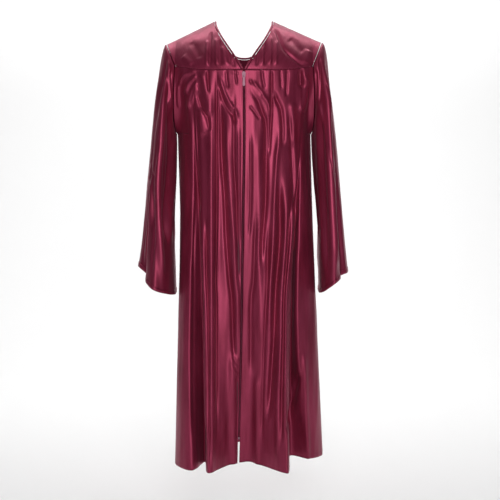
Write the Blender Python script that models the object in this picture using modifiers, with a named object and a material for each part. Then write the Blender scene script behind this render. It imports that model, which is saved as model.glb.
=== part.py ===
"""Satin graduation gown, filled out as if worn.

Metres, +Z up.  The front faces -Y and the wearer's left is +X.  The origin is midway between
the two points where the shoulder seams meet the neck, which is where the gown is held.

The gown is cut as two front yokes, a back yoke, two front panels, a back panel and two bell
sleeves.  Each is an open surface, worked out from the tables below, with the cloth's wall from
a Solidify modifier.  "Across" is the distance from the gown's middle plane, "forward" the
distance in front of the shoulder line.
"""

import math

import bmesh
import bpy
from mathutils import Vector

COLLECTION_NAME = "graduation_gown"
RIGHT = -1.0
LEFT = 1.0
SIDE_NAMES = {RIGHT: "right", LEFT: "left"}

# Cloth and seams
WALL = 0.0012
BINDING_WALL = 0.0016
TAPE_WALL = 0.0008
SEAM_GAP = 0.0003
YOKE_SEAM_GAP = 0.0005
NECK_SEAM_GAP = 0.0009
SIDE_SEAM_GAP = 0.0006
SHOULDER_SEAM_GAP = 0.0008
ARMHOLE_GAP = 0.0026

# Neck
NECK_HALF = 0.0736
NECK_LEAVES_DOWN = (0.0730, -0.036)
NECK_ARRIVES = (0.0260, -0.090)
NECK_POINT = (0.0006, -0.1370)
BACK_NECK_DROP = 0.085
BINDING_WIDTH = 0.005

# Shoulders, yoke seam and armholes
SHOULDER_ACROSS = 0.2060
SHOULDER_DROP = {RIGHT: 0.061, LEFT: 0.056}
SHOULDER_ROUNDNESS = 1.6
YOKE_CORNER_ACROSS = 0.181
YOKE_SEAM_Z = -0.1385
YOKE_SEAM_RISE = 0.0150
YOKE_HALF_GIRTH = 0.209
YOKE_FRONT_DEPTH = 0.130
YOKE_BACK_DEPTH = 0.120
YOKE_COLUMNS = 9
YOKE_ROWS = 7
SCOOP_STEPS = 10
ARMHOLE_ACROSS = 0.178
ARMHOLE_BULGE = 0.007
ARMHOLE_STEPS = 5

# Body: heights of the girths that the fold tables give
YOKE, CHEST, WAIST, THIGH, HEM = -0.1385, -0.300, -0.560, -0.850, -1.180
GIRTH_LEVELS = (YOKE, CHEST, WAIST, THIGH, HEM)
SKIRT_ROWS = 9
FOLD_STEPS = 2

# Side seams: across, and forward, at chest, waist, thigh and hem, then the hem's lift
SIDE_SEAMS = {
    RIGHT: ((0.178, 0.0), (0.172, 0.0), (0.177, 0.0), (0.183, 0.0), 0.000),
    LEFT: ((0.178, 0.0), (0.186, 0.0), (0.199, 0.0), (0.216, -0.02), 0.012),
}

# Front folds, from the zip to the side.  Each row: name, across at the yoke seam, then
# (across, forward) at chest, waist, thigh and hem, then how far the hem lifts there.
FRONT_FOLDS = {
    RIGHT: (
        ("zip_edge", 0.0027, (0.0015, 0.138), (0.0055, 0.134), (0.010, 0.127), (0.0175, 0.103), 0.008),
        ("valley", 0.030, (0.031, 0.137), (0.031, 0.135), (0.033, 0.130), (0.038, 0.112), 0.006),
        ("inner_pleat", 0.069, (0.069, 0.122), (0.069, 0.126), (0.069, 0.137), (0.068, 0.150), 0.002),
        ("front_flute", 0.095, (0.092, 0.118), (0.088, 0.130), (0.085, 0.150), (0.084, 0.175), 0.000),
        ("outer_pleat", 0.121, (0.124, 0.102), (0.111, 0.118), (0.100, 0.138), (0.097, 0.165), 0.000),
        ("side_trough", 0.130, (0.129, 0.090), (0.116, 0.084), (0.107, 0.076), (0.104, 0.080), 0.006),
        ("side_flute", 0.150, (0.140, 0.083), (0.137, 0.098), (0.146, 0.110), (0.136, 0.138), -0.003),
        ("side_front", 0.168, (0.163, 0.045), (0.167, 0.062), (0.174, 0.072), (0.181, 0.085), 0.000),
    ),
    LEFT: (
        ("zip_edge", 0.0027, (0.0040, 0.138), (0.0000, 0.134), (-0.0045, 0.127), (-0.0129, 0.103), 0.010),
        ("valley", 0.035, (0.034, 0.136), (0.030, 0.136), (0.024, 0.128), (0.016, 0.102), 0.012),
        ("inner_pleat", 0.072, (0.068, 0.122), (0.065, 0.128), (0.054, 0.138), (0.050, 0.122), 0.006),
        ("front_flute", 0.107, (0.100, 0.117), (0.107, 0.128), (0.100, 0.150), (0.102, 0.173), 0.000),
        ("outer_pleat", 0.143, (0.143, 0.090), (0.128, 0.112), (0.117, 0.138), (0.117, 0.162), 0.000),
        ("side_trough", 0.150, (0.148, 0.080), (0.133, 0.080), (0.123, 0.072), (0.122, 0.062), 0.018),
        ("side_flute", 0.160, (0.156, 0.068), (0.147, 0.097), (0.145, 0.106), (0.172, 0.074), 0.014),
        ("side_front", 0.170, (0.168, 0.042), (0.179, 0.055), (0.190, 0.066), (0.208, 0.035), 0.012),
    ),
}

# Back girth: depth behind the shoulder line at each level, and the folds round it.  Each fold
# row: name, its turn from the left side seam (0) to the right one (1), and how far it lies
# inside the girth at the yoke seam, chest, waist, thigh and hem.
BACK_DEPTHS = (0.120, 0.130, 0.150, 0.175, 0.200)
BACK_FOLDS = (
    ("left_trough", 0.09, (0.000, 0.002, 0.012, 0.026, 0.040)),
    ("left_flute", 0.18, (0.000, 0.000, 0.002, 0.003, 0.000)),
    ("left_pleat", 0.27, (0.002, 0.008, 0.020, 0.034, 0.050)),
    ("left_back_flute", 0.36, (0.000, 0.000, 0.000, 0.000, 0.000)),
    ("middle_left_pleat", 0.44, (0.002, 0.006, 0.016, 0.030, 0.046)),
    ("middle_flute", 0.52, (0.000, 0.000, 0.000, 0.002, 0.004)),
    ("middle_right_pleat", 0.60, (0.002, 0.008, 0.018, 0.028, 0.040)),
    ("right_back_flute", 0.68, (0.000, 0.000, 0.000, 0.000, 0.000)),
    ("right_pleat", 0.77, (0.002, 0.007, 0.020, 0.036, 0.048)),
    ("right_flute", 0.85, (0.000, 0.000, 0.001, 0.002, 0.003)),
    ("right_trough", 0.93, (0.000, 0.002, 0.010, 0.022, 0.034)),
)

# Cuffs, round from the outer line of the sleeve to the front, the body side and the back.
# Each row: name, across, forward and height.
CUFF_FOLDS = {
    RIGHT: (
        ("outer_line", 0.2830, 0.005, -0.654),
        ("outer_flute", 0.2780, 0.048, -0.657),
        ("outer_trough", 0.2560, 0.066, -0.674),
        ("front_edge", 0.2570, 0.100, -0.690),
        ("front_flute", 0.2340, 0.132, -0.710),
        ("front_body", 0.2020, 0.108, -0.722),
        ("body_front", 0.1875, 0.055, -0.728),
        ("body_line", 0.1860, 0.000, -0.729),
        ("body_back", 0.1900, -0.060, -0.727),
        ("back_flute", 0.2150, -0.122, -0.714),
        ("back_trough", 0.2390, -0.094, -0.692),
        ("back_outer", 0.2680, -0.072, -0.668),
    ),
    LEFT: (
        ("outer_line", 0.2790, 0.005, -0.669),
        ("outer_flute", 0.2740, 0.050, -0.671),
        ("outer_trough", 0.2560, 0.066, -0.677),
        ("front_edge", 0.2520, 0.098, -0.682),
        ("front_flute", 0.2370, 0.128, -0.694),
        ("front_body", 0.2130, 0.104, -0.714),
        ("body_front", 0.2040, 0.055, -0.723),
        ("body_line", 0.2030, 0.000, -0.724),
        ("body_back", 0.2060, -0.060, -0.722),
        ("back_flute", 0.2240, -0.122, -0.710),
        ("back_trough", 0.2430, -0.094, -0.696),
        ("back_outer", 0.2660, -0.072, -0.680),
    ),
}
SLEEVE_ROWS = 12
SLEEVE_CROWDING = 1.35
ARMHOLE_MIDDLE_Z = -0.185
CUFF_FLARE = 0.024

# Zip: it runs from the neck point to well above the hem, on the line between the front panels.
ZIP_TOP_Z = -0.166
ZIP_END_Z = -1.100
COIL_WIDTH = 0.0038
COIL_WALL = 0.0020
TAPE_WIDTH = 0.0098
TAPE_START = 0.0005
STOP_SIZE = (0.0062, 0.0022, 0.0060)
SLIDER_TOP_Z = -0.1440
SLIDER_LENGTH = 0.0200
SLIDER_TOP_WIDTH = 0.0096
SLIDER_FOOT_WIDTH = 0.0066
SLIDER_THICKNESS = 0.0040
SLIDER_STANDOFF = 0.0009
BAIL_RADIUS = 0.0036
BAIL_WIRE = 0.0006
BAIL_Z = -0.1560
PULL_LENGTH = 0.0265
PULL_TOP_WIDTH = 0.0050
PULL_FOOT_WIDTH = 0.0066
PULL_THICKNESS = 0.0010
PULL_BAR = 0.0006
PULL_SLOT_HALF = 0.0011
PULL_SLOT_FOOT = 0.0040
PULL_STANDOFF = 0.0015

# Finishes: colour, roughness, metallic
FINISHES = {
    "satin": ((0.165, 0.016, 0.040), 0.38, 0.35),
    "binding_satin": ((0.150, 0.014, 0.036), 0.42, 0.30),
    "zip_tape": ((0.120, 0.012, 0.030), 0.75, 0.0),
    "zip_coil": ((0.180, 0.022, 0.050), 0.35, 0.0),
    "zip_metal": ((0.300, 0.150, 0.180), 0.40, 0.80),
}


# ---------------------------------------------------------------- curves through the tables

def smooth(knots, values, at):
    """The value at `at` on a smooth curve through `values`, which stand at `knots`."""
    falling = knots[0] > knots[-1]
    order = list(range(len(knots)))
    if falling:
        order.reverse()
    places = [knots[i] for i in order]
    heights = [values[i] for i in order]
    if at <= places[0]:
        return heights[0]
    if at >= places[-1]:
        return heights[-1]
    low = max(i for i in range(len(places) - 1) if places[i] <= at)
    span = places[low + 1] - places[low]

    def slope(i):
        before = max(i - 1, 0)
        after = min(i + 1, len(places) - 1)
        return (heights[after] - heights[before]) * (1.0 / (places[after] - places[before]))

    share = (at - places[low]) / span
    rest = 1.0 - share
    return (heights[low] * ((1.0 + 2.0 * share) * rest * rest)
            + slope(low) * (span * share * rest * rest)
            + heights[low + 1] * (share * share * (3.0 - 2.0 * share))
            - slope(low + 1) * (span * share * share * rest))


def thread(points, steps, closed=False):
    """Points on a smooth line through `points`, `steps` to each interval."""
    count = len(points)
    spans = count if closed else count - 1
    line = []
    for span in range(spans):
        start, end = points[span], points[(span + 1) % count]
        before = points[span - 1] if closed or span else start * 2.0 - end
        beyond = (points[(span + 2) % count] if closed or span + 2 < count
                  else end * 2.0 - start)
        for step in range(steps):
            line.append(between(before, start, end, beyond, step / steps))
    if not closed:
        line.append(points[-1].copy())
    return line


def between(before, start, end, beyond, share):
    """A point between start and end on the smooth line through four points."""
    return 0.5 * (start * 2.0
                  + (end - before) * share
                  + (before * 2.0 - start * 5.0 + end * 4.0 - beyond) * share ** 2
                  + (start * 3.0 - before - end * 3.0 + beyond) * share ** 3)


def bezier(points, share):
    """A point on the cubic Bezier curve of four points."""
    rest = 1.0 - share
    return (points[0] * rest ** 3 + points[1] * (3.0 * share * rest ** 2)
            + points[2] * (3.0 * share ** 2 * rest) + points[3] * share ** 3)


# ---------------------------------------------------------------- yokes and neck

def yoke_depth(across, full_depth):
    """How far the yoke seam stands from the shoulder line at this distance across."""
    turn = min(across, YOKE_CORNER_ACROSS) / YOKE_HALF_GIRTH
    return full_depth * math.sqrt(1.0 - turn ** 2)


def yoke_seam_z(across):
    return YOKE_SEAM_Z + YOKE_SEAM_RISE * (across / YOKE_CORNER_ACROSS) ** 4


def shoulder_z(side, across):
    """Height of the shoulder line, level inside the neck and sloping outside it."""
    share = (across - NECK_HALF) / (SHOULDER_ACROSS - NECK_HALF)
    return -SHOULDER_DROP[side] * max(share, 0.0)


def on_yoke(side, across, z, front):
    """The point of the yoke's rounded surface at this distance across and height."""
    top = shoulder_z(side, across)
    fall = (top - z) / (top - yoke_seam_z(across))
    fall = min(max(fall, 0.0), 1.0)
    curve = SHOULDER_ROUNDNESS
    reach = (1.0 - (1.0 - fall) ** curve) ** (1.0 / curve)
    depth = yoke_depth(across, YOKE_FRONT_DEPTH if front else YOKE_BACK_DEPTH)
    y = SHOULDER_SEAM_GAP / 2 + depth * reach
    return Vector((side * across, -y if front else y, z))


def front_neck(share, inset):
    """(across, z) on the V neck, from the shoulder to its point, moved into the cloth."""
    legs = [Vector(leg) for leg in
            ((NECK_HALF, 0.0), NECK_LEAVES_DOWN, NECK_ARRIVES, NECK_POINT)]
    here = bezier(legs, share)
    run = bezier(legs, min(share + 0.01, 1.0)) - bezier(legs, max(share - 0.01, 0.0))
    out = Vector((-run.y, run.x)).normalized()
    return here + out * inset


def back_neck(share, inset):
    """(across, z) on the scooped back neck, from the right shoulder (-1) to the left (1)."""
    turn = share * math.pi / 2
    half = NECK_HALF + inset
    return Vector((half * math.sin(turn), -(BACK_NECK_DROP + inset) * math.cos(turn)))


def grid_steps(count, crowding=1.0):
    """Shares from 0 to 1, closer together near 0 when crowding is over 1."""
    return [(step / count) ** crowding for step in range(count + 1)]


def front_yoke_rows(side):
    """Rows of the front yoke, from the shoulder seam to the yoke seam."""
    inset = BINDING_WIDTH + NECK_SEAM_GAP
    neck_top = Vector((NECK_HALF + inset, shoulder_z(side, NECK_HALF + inset)))
    shoulder = Vector((SHOULDER_ACROSS, -SHOULDER_DROP[side]))
    corner = Vector((YOKE_CORNER_ACROSS, yoke_seam_z(YOKE_CORNER_ACROSS)))
    foot_across = NECK_POINT[0] + inset * 1.05
    foot = Vector((foot_across, yoke_seam_z(foot_across)))
    rows = []
    for down in grid_steps(YOKE_ROWS, SHOULDER_ROUNDNESS):
        neck = front_neck(down, inset)
        if down == 0.0:
            neck = neck_top
        if down == 1.0:
            neck = foot
        arm = shoulder.lerp(corner, down)
        row = []
        for out in grid_steps(YOKE_COLUMNS):
            top = neck_top.lerp(shoulder, out)
            across = foot.x + (corner.x - foot.x) * out
            seam = Vector((across, yoke_seam_z(across)))
            flat = (top.lerp(seam, down) + neck.lerp(arm, out)
                    - neck_top.lerp(foot, down).lerp(shoulder.lerp(corner, down), out))
            point = on_yoke(side, flat.x, flat.y, front=True)
            if down == 1.0:
                point.z += YOKE_SEAM_GAP
            row.append(point)
        rows.append(row)
    return rows


def back_yoke_rows():
    """Rows of the back yoke, from its shoulder seams and neck to the back yoke seam."""
    inset = BINDING_WIDTH + NECK_SEAM_GAP
    top = []
    for out in grid_steps(5):
        across = SHOULDER_ACROSS + (NECK_HALF + inset - SHOULDER_ACROSS) * out
        top.append((RIGHT, across, shoulder_z(RIGHT, across)))
    for step in range(1, SCOOP_STEPS):
        share = -1.0 + 2.0 * step / SCOOP_STEPS
        place = back_neck(share, inset)
        top.append((RIGHT if place.x < 0 else LEFT, abs(place.x), place.y))
    for out in grid_steps(5):
        across = NECK_HALF + inset + (SHOULDER_ACROSS - NECK_HALF - inset) * out
        top.append((LEFT, across, shoulder_z(LEFT, across)))
    rows = []
    last = len(top) - 1
    for down in grid_steps(YOKE_ROWS, SHOULDER_ROUNDNESS):
        row = []
        for column, (side, across, z) in enumerate(top):
            seam_across = YOKE_CORNER_ACROSS * abs(2.0 * column / last - 1.0)
            here = across + (seam_across - across) * down
            height = z + (yoke_seam_z(seam_across) - z) * down
            point = on_yoke(side, here, height, front=False)
            if down == 1.0:
                point.z += YOKE_SEAM_GAP
            row.append(point)
        rows.append(row)
    return rows


def front_binding_rows(side):
    """The strip round one edge of the V, from the shoulder to the neck point."""
    rows = []
    for share in grid_steps(YOKE_ROWS, SHOULDER_ROUNDNESS):
        row = []
        for inset in (0.0, BINDING_WIDTH):
            place = front_neck(share, inset)
            if share == 0.0:
                place = Vector((NECK_HALF + inset, shoulder_z(side, NECK_HALF + inset)))
            height = max(place.y, YOKE_SEAM_Z + 2 * YOKE_SEAM_GAP)
            row.append(on_yoke(side, max(place.x, NECK_POINT[0]), height, front=True))
        rows.append(row)
    return rows


def back_binding_rows():
    """The strip round the back neck, from the right shoulder to the left one."""
    rows = []
    for step in range(SCOOP_STEPS + 1):
        share = -1.0 + 2.0 * step / SCOOP_STEPS
        row = []
        for inset in (0.0, BINDING_WIDTH):
            place = back_neck(share, inset)
            side = RIGHT if place.x < 0 else LEFT
            height = place.y
            if step in (0, SCOOP_STEPS):
                height = shoulder_z(side, NECK_HALF + inset)
            row.append(on_yoke(side, abs(place.x), height, front=False))
        rows.append(row)
    return rows


# ---------------------------------------------------------------- body panels

def armhole(side, turn, front):
    """The armhole's edge below the yoke, from the yoke corner (0) to the underarm (1)."""
    angle = turn * math.pi / 2
    corner_z = yoke_seam_z(YOKE_CORNER_ACROSS)
    across = (YOKE_CORNER_ACROSS + (ARMHOLE_ACROSS - YOKE_CORNER_ACROSS) * math.sin(angle)
              + ARMHOLE_BULGE * math.sin(2.0 * angle))
    full = YOKE_FRONT_DEPTH if front else YOKE_BACK_DEPTH
    depth = yoke_depth(YOKE_CORNER_ACROSS, full) * math.cos(angle)
    depth += SIDE_SEAM_GAP / 2
    z = corner_z + (CHEST - corner_z) * math.sin(angle)
    return Vector((side * across, -depth if front else depth, z))


def side_seam(side, z, front):
    """A point of the side seam, on the front panel's side of it or the back panel's."""
    places = SIDE_SEAMS[side][:-1]
    place = smooth(GIRTH_LEVELS[1:], [Vector(at) for at in places], z)
    gap = SIDE_SEAM_GAP / 2
    return Vector((side * place.x, -place.y + (-gap if front else gap), z))


def panel_heights(top_z, hem_z):
    """Heights of a panel's rows: the armhole's own rows, then even rows to the hem."""
    heights = [top_z + (CHEST - top_z) * math.sin(math.pi / 2 * step / ARMHOLE_STEPS)
               for step in range(ARMHOLE_STEPS)]
    heights += [CHEST + (hem_z - CHEST) * step / SKIRT_ROWS for step in range(SKIRT_ROWS + 1)]
    return heights


def fold_point(side, fold, z):
    """Where a front fold lies at height z."""
    _, yoke_across, *places, _ = fold
    knots = [Vector((yoke_across, yoke_depth(yoke_across, YOKE_FRONT_DEPTH)))]
    knots += [Vector(place) for place in places]
    place = smooth(GIRTH_LEVELS, knots, z)
    return Vector((side * place.x, -place.y, z))


def fold_line(side, fold):
    """A front fold from the yoke seam to the hem, one point to a row."""
    _, yoke_across, *_, lift = fold
    heights = panel_heights(yoke_seam_z(yoke_across), HEM + lift)
    return [fold_point(side, fold, z) for z in heights]


def side_line(side, front):
    """The panel's side edge: the armhole, then the side seam down to the hem."""
    lift = SIDE_SEAMS[side][-1]
    line = [armhole(side, step / ARMHOLE_STEPS, front) for step in range(ARMHOLE_STEPS)]
    line += [side_seam(side, z, front)
             for z in panel_heights(YOKE, HEM + lift)[ARMHOLE_STEPS:]]
    return line


def front_panel_rows(side):
    """Rows of a front panel, each from the zip to the side."""
    lines = [fold_line(side, fold) for fold in FRONT_FOLDS[side]]
    lines.append(side_line(side, front=True))
    return [thread([line[row] for line in lines], FOLD_STEPS) for row in range(len(lines[0]))]


def back_point(turn, insets, z):
    """A point of the back girth, lying inside it by the fold's depth at this height."""
    depth = smooth(GIRTH_LEVELS, BACK_DEPTHS, z)
    side = LEFT if turn <= 0.5 else RIGHT
    upper = min(max((CHEST - z) / (CHEST - YOKE), 0.0), 1.0)
    if z > CHEST:
        half = YOKE_HALF_GIRTH * upper + ARMHOLE_ACROSS * (1.0 - upper)
    else:
        half = abs(side_seam(side, z, front=False).x)
    seam_turn = math.acos(min(YOKE_CORNER_ACROSS / YOKE_HALF_GIRTH, 1.0)) * upper
    angle = seam_turn + (math.pi - 2.0 * seam_turn) * turn
    inset = smooth(GIRTH_LEVELS, insets, z)
    return Vector(((half - inset) * math.cos(angle), (depth - inset) * math.sin(angle), z))


def back_panel_rows():
    """Rows of the back panel, each from the left side to the right."""
    lines = [side_line(LEFT, front=False)]
    for _, turn, insets in BACK_FOLDS:
        side = LEFT if turn <= 0.5 else RIGHT
        lift = SIDE_SEAMS[side][-1] * abs(1.0 - 2.0 * turn)
        top_across = YOKE_CORNER_ACROSS * abs(1.0 - 2.0 * turn)
        heights = panel_heights(yoke_seam_z(top_across), HEM + lift)
        lines.append([back_point(turn, insets, z) for z in heights])
    lines.append(side_line(RIGHT, front=False))
    return [thread([line[row] for line in lines], FOLD_STEPS) for row in range(len(lines[0]))]


# ---------------------------------------------------------------- sleeves

def armhole_loop(side):
    """The whole armhole, from the shoulder to the front, the underarm and the back."""
    front = [row[-1] for row in front_yoke_rows(side)]
    front += [armhole(side, step / ARMHOLE_STEPS, True) for step in range(1, ARMHOLE_STEPS)]
    column = -1 if side == LEFT else 0
    back = [row[column] for row in back_yoke_rows()]
    back += [armhole(side, step / ARMHOLE_STEPS, False) for step in range(1, ARMHOLE_STEPS)]
    underarm = Vector((side * ARMHOLE_ACROSS, 0.0, CHEST))
    return front + [underarm] + back[:0:-1]


def cuff_loop(side, count):
    """The cuff, with as many points as the armhole, starting at the outer line."""
    folds = [Vector((side * across, -forward, z))
             for _, across, forward, z in CUFF_FOLDS[side]]
    fine = thread(folds, count, closed=True)
    return [fine[len(folds) * step] for step in range(count)]


def sleeve_rows(side):
    """Rings of a sleeve, from the armhole to the cuff."""
    start = armhole_loop(side)
    end = cuff_loop(side, len(start))
    middle = Vector((0.0, 0.0, ARMHOLE_MIDDLE_Z))
    outer_line = abs(end[0].x)
    body_line = abs(end[len(end) // 2].x)
    rows = [[] for _ in range(SLEEVE_ROWS + 1)]
    for first, last in zip(start, end):
        first = first + Vector((side * ARMHOLE_GAP, 0.0, 0.0))
        spoke = first - middle
        spoke.x = 0.0
        spoke.normalize()
        raised = max(spoke.z, 0.0)
        leave = Vector((side * (0.02 + 0.24 * abs(spoke.y) + 0.74 * raised), 0.45 * spoke.y,
                        -0.85 + 0.75 * raised))
        leave.normalize()
        drop = (first - last).length
        outness = (abs(last.x) - body_line) / (outer_line - body_line)
        flare = Vector((-side * CUFF_FLARE * outness, 0.0, 0.34 * drop))
        legs = (first, first + leave * (drop * (0.30 - 0.26 * raised)), last + flare, last)
        for row, share in enumerate(grid_steps(SLEEVE_ROWS, SLEEVE_CROWDING)):
            rows[row].append(bezier(legs, share))
    return rows


# ---------------------------------------------------------------- zip

def zip_line(z):
    """The middle of the zip at this height, on the cloth's own surface."""
    edges = [fold_point(side, FRONT_FOLDS[side][0], z) for side in (RIGHT, LEFT)]
    return (edges[0] + edges[1]) / 2


def strip_heights(top, foot):
    """Heights along the zip that fall on the panels' rows, with its own two ends."""
    rows = [z for z in panel_heights(YOKE, HEM) if foot < z < top]
    return [top] + rows + [foot]


def at_height(line, z):
    """The point at height z on a line of points that runs downwards."""
    for upper, lower in zip(line, line[1:]):
        if lower.z <= z <= upper.z:
            return upper.lerp(lower, (upper.z - z) / (upper.z - lower.z))
    return line[-1].copy()


def tape_rows(side):
    """The zip tape, sewn behind the front panel's edge."""
    rows = front_panel_rows(side)
    edge = [row[0] for row in rows]
    inner = [row[1] for row in rows]
    behind = WALL / 2 + SEAM_GAP + TAPE_WALL / 2
    strip = []
    for z in strip_heights(SLIDER_TOP_Z, ZIP_END_Z):
        near = at_height(edge, z)
        run = (at_height(inner, z) - near)
        run.z = 0.0
        run.normalize()
        inward = Vector((-run.y * side, run.x * side, 0.0)) * behind
        strip.append([near + inward + run * TAPE_START, near + inward + run * TAPE_WIDTH])
    return strip


def coil_rows():
    half = Vector((COIL_WIDTH / 2, 0.0, 0.0))
    return [[zip_line(z) - half, zip_line(z) + half] for z in strip_heights(ZIP_TOP_Z, ZIP_END_Z)]


# ---------------------------------------------------------------- making the objects

def start_scene():
    for item in list(bpy.data.objects):
        bpy.data.objects.remove(item, do_unlink=True)
    collection = bpy.data.collections.new(COLLECTION_NAME)
    bpy.context.scene.collection.children.link(collection)
    return collection


def make_finish(name, finish):
    colour, roughness, metallic = FINISHES[finish]
    material = bpy.data.materials.new(name + "_finish")
    material.use_nodes = True
    shader = material.node_tree.nodes["Principled BSDF"]
    shader.inputs["Base Color"].default_value = (*colour, 1.0)
    shader.inputs["Roughness"].default_value = roughness
    shader.inputs["Metallic"].default_value = metallic
    return material


def add_object(collection, name, mesh, finish):
    item = bpy.data.objects.new(name, mesh)
    item.data.materials.append(make_finish(name, finish))
    collection.objects.link(item)
    return item


def lay_cloth(collection, name, rows, wall, finish="satin", closed=False, flip=False):
    """One cut piece: a grid of points made a mesh, with its wall from Solidify."""
    shape = bmesh.new()
    grid = [[shape.verts.new(point) for point in row] for row in rows]
    for upper, lower in zip(grid, grid[1:]):
        count = len(upper)
        for column in range(count if closed else count - 1):
            after = (column + 1) % count
            corners = [upper[column], lower[column], lower[after], upper[after]]
            shape.faces.new(corners[::-1] if flip else corners)
    mesh = bpy.data.meshes.new(name)
    shape.to_mesh(mesh)
    shape.free()
    mesh.shade_smooth()
    piece = add_object(collection, name, mesh, finish)
    solidify = piece.modifiers.new("wall", "SOLIDIFY")
    solidify.thickness = wall
    solidify.offset = 0.0
    return piece


def make_box(collection, name, size, centre, bevel, finish):
    shape = bmesh.new()
    bmesh.ops.create_cube(shape, size=1.0)
    bmesh.ops.scale(shape, vec=size, verts=shape.verts)
    mesh = bpy.data.meshes.new(name)
    shape.to_mesh(mesh)
    shape.free()
    box = add_object(collection, name, mesh, finish)
    box.location = centre
    edges = box.modifiers.new("edges", "BEVEL")
    edges.width = bevel
    edges.segments = 2
    return box


def tapered_plate(name, top_width, foot_width, length, thickness):
    """A plate hanging from z = 0, with rounded ends, as mesh data facing -Y."""
    shape = bmesh.new()
    outline = []
    for centre_z, width, start in ((-top_width / 2, top_width, 0), (-length + foot_width / 2,
                                                                    foot_width, math.pi)):
        for step in range(9):
            angle = start + math.pi * step / 8
            outline.append((width / 2 * math.cos(angle), 0.0,
                            centre_z + width / 2 * math.sin(angle)))
    face = shape.faces.new([shape.verts.new(point) for point in outline])
    grown = bmesh.ops.extrude_face_region(shape, geom=[face])
    moved = [item for item in grown["geom"] if isinstance(item, bmesh.types.BMVert)]
    bmesh.ops.translate(shape, verts=moved, vec=(0.0, -thickness, 0.0))
    bmesh.ops.recalc_face_normals(shape, faces=shape.faces)
    mesh = bpy.data.meshes.new(name)
    shape.to_mesh(mesh)
    shape.free()
    return mesh


def cutter_collection():
    """The collection that keeps the Booleans' hidden shapes apart from the gown."""
    found = bpy.data.collections.get("cutters")
    if not found:
        found = bpy.data.collections.new("cutters")
        bpy.context.scene.collection.children.link(found)
    return found


def make_cutter(name, radius, depth, centre):
    """A hidden cylinder along X, for a Boolean."""
    shape = bmesh.new()
    bmesh.ops.create_cone(shape, cap_ends=True, segments=16, radius1=radius, radius2=radius,
                          depth=depth)
    mesh = bpy.data.meshes.new(name)
    shape.to_mesh(mesh)
    shape.free()
    cutter = bpy.data.objects.new(name, mesh)
    cutter.location = centre
    cutter.rotation_euler = (0.0, math.pi / 2, 0.0)
    cutter.hide_render = True
    cutter.display_type = "WIRE"
    cutter_collection().objects.link(cutter)
    return cutter


def cut(item, cutter, operation="DIFFERENCE"):
    boolean = item.modifiers.new(operation.lower(), "BOOLEAN")
    boolean.operation = operation
    boolean.object = cutter


def slider_face():
    """The front of the cloth where the slider rides, and its place across."""
    middle = zip_line(SLIDER_TOP_Z - SLIDER_LENGTH / 2)
    return middle.x, middle.y - WALL / 2 - SLIDER_STANDOFF


def make_slider(collection):
    """The slider's plate, with the bail that the pull hangs on standing from its front."""
    x, back_y = slider_face()
    plate = tapered_plate("zip_slider", SLIDER_TOP_WIDTH, SLIDER_FOOT_WIDTH, SLIDER_LENGTH,
                          SLIDER_THICKNESS)
    slider = add_object(collection, "zip_slider", plate, "zip_metal")
    slider.location = (x, back_y, SLIDER_TOP_Z)
    front_y = back_y - SLIDER_THICKNESS
    bail = make_cutter("bail", BAIL_RADIUS, 2 * BAIL_WIRE, (x, front_y, BAIL_Z))
    eye = make_cutter("bail_eye", BAIL_RADIUS - 2 * BAIL_WIRE, 0.01, (x, front_y, BAIL_Z))
    cut(bail, eye)
    cut(slider, bail, "UNION")
    return slider


def pull_axis():
    """The line along X, inside the bail, that the pull's top bar turns on."""
    x, back_y = slider_face()
    return Vector((x, back_y - SLIDER_THICKNESS - PULL_STANDOFF, BAIL_Z))


def make_pull(collection):
    """The pull tab: its top bar lies in the bail, and the bail passes through its slot."""
    hinge = bpy.data.objects.new("pull_hinge", None)
    hinge.location = pull_axis()
    collection.objects.link(hinge)
    plate = tapered_plate("zip_pull", PULL_TOP_WIDTH, PULL_FOOT_WIDTH, PULL_LENGTH,
                          PULL_THICKNESS)
    pull = add_object(collection, "zip_pull", plate, "zip_metal")
    pull.parent = hinge
    pull.location = (0.0, PULL_THICKNESS / 2, PULL_BAR)
    slot = make_box(cutter_collection(), "pull_slot",
                    (2 * PULL_SLOT_HALF, 0.01, PULL_SLOT_FOOT - PULL_BAR),
                    (0.0, 0.0, -(PULL_SLOT_FOOT + PULL_BAR) / 2), PULL_SLOT_HALF / 2, "zip_metal")
    slot.hide_render = True
    slot.display_type = "WIRE"
    slot.parent = hinge
    cut(pull, slot)
    return pull


def build():
    collection = start_scene()
    for side in (RIGHT, LEFT):
        wearer = SIDE_NAMES[side]
        outward = side == RIGHT
        lay_cloth(collection, "front_yoke_" + wearer, front_yoke_rows(side), WALL, flip=outward)
        lay_cloth(collection, "front_panel_" + wearer, front_panel_rows(side), WALL,
                  flip=outward)
        lay_cloth(collection, "sleeve_" + wearer, sleeve_rows(side), WALL, closed=True,
                  flip=not outward)
        lay_cloth(collection, "neck_binding_" + wearer, front_binding_rows(side),
                  BINDING_WALL, "binding_satin", flip=outward)
        lay_cloth(collection, "zip_tape_" + wearer, tape_rows(side), TAPE_WALL, "zip_tape",
                  flip=outward)
    lay_cloth(collection, "back_yoke", back_yoke_rows(), WALL, flip=True)
    lay_cloth(collection, "back_panel", back_panel_rows(), WALL)
    lay_cloth(collection, "neck_binding_back", back_binding_rows(), BINDING_WALL,
              "binding_satin", flip=True)
    lay_cloth(collection, "zip_coil", coil_rows(), COIL_WALL, "zip_coil")
    stop = zip_line(ZIP_END_Z) - Vector((0.0, 0.0, SEAM_GAP + STOP_SIZE[2] / 2))
    stop.y -= WALL / 2 + SEAM_GAP + STOP_SIZE[1] / 2 + 0.0004
    make_box(collection, "zip_stop", STOP_SIZE, stop, 0.0004, "zip_metal")
    make_slider(collection)
    make_pull(collection)


build()
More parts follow.
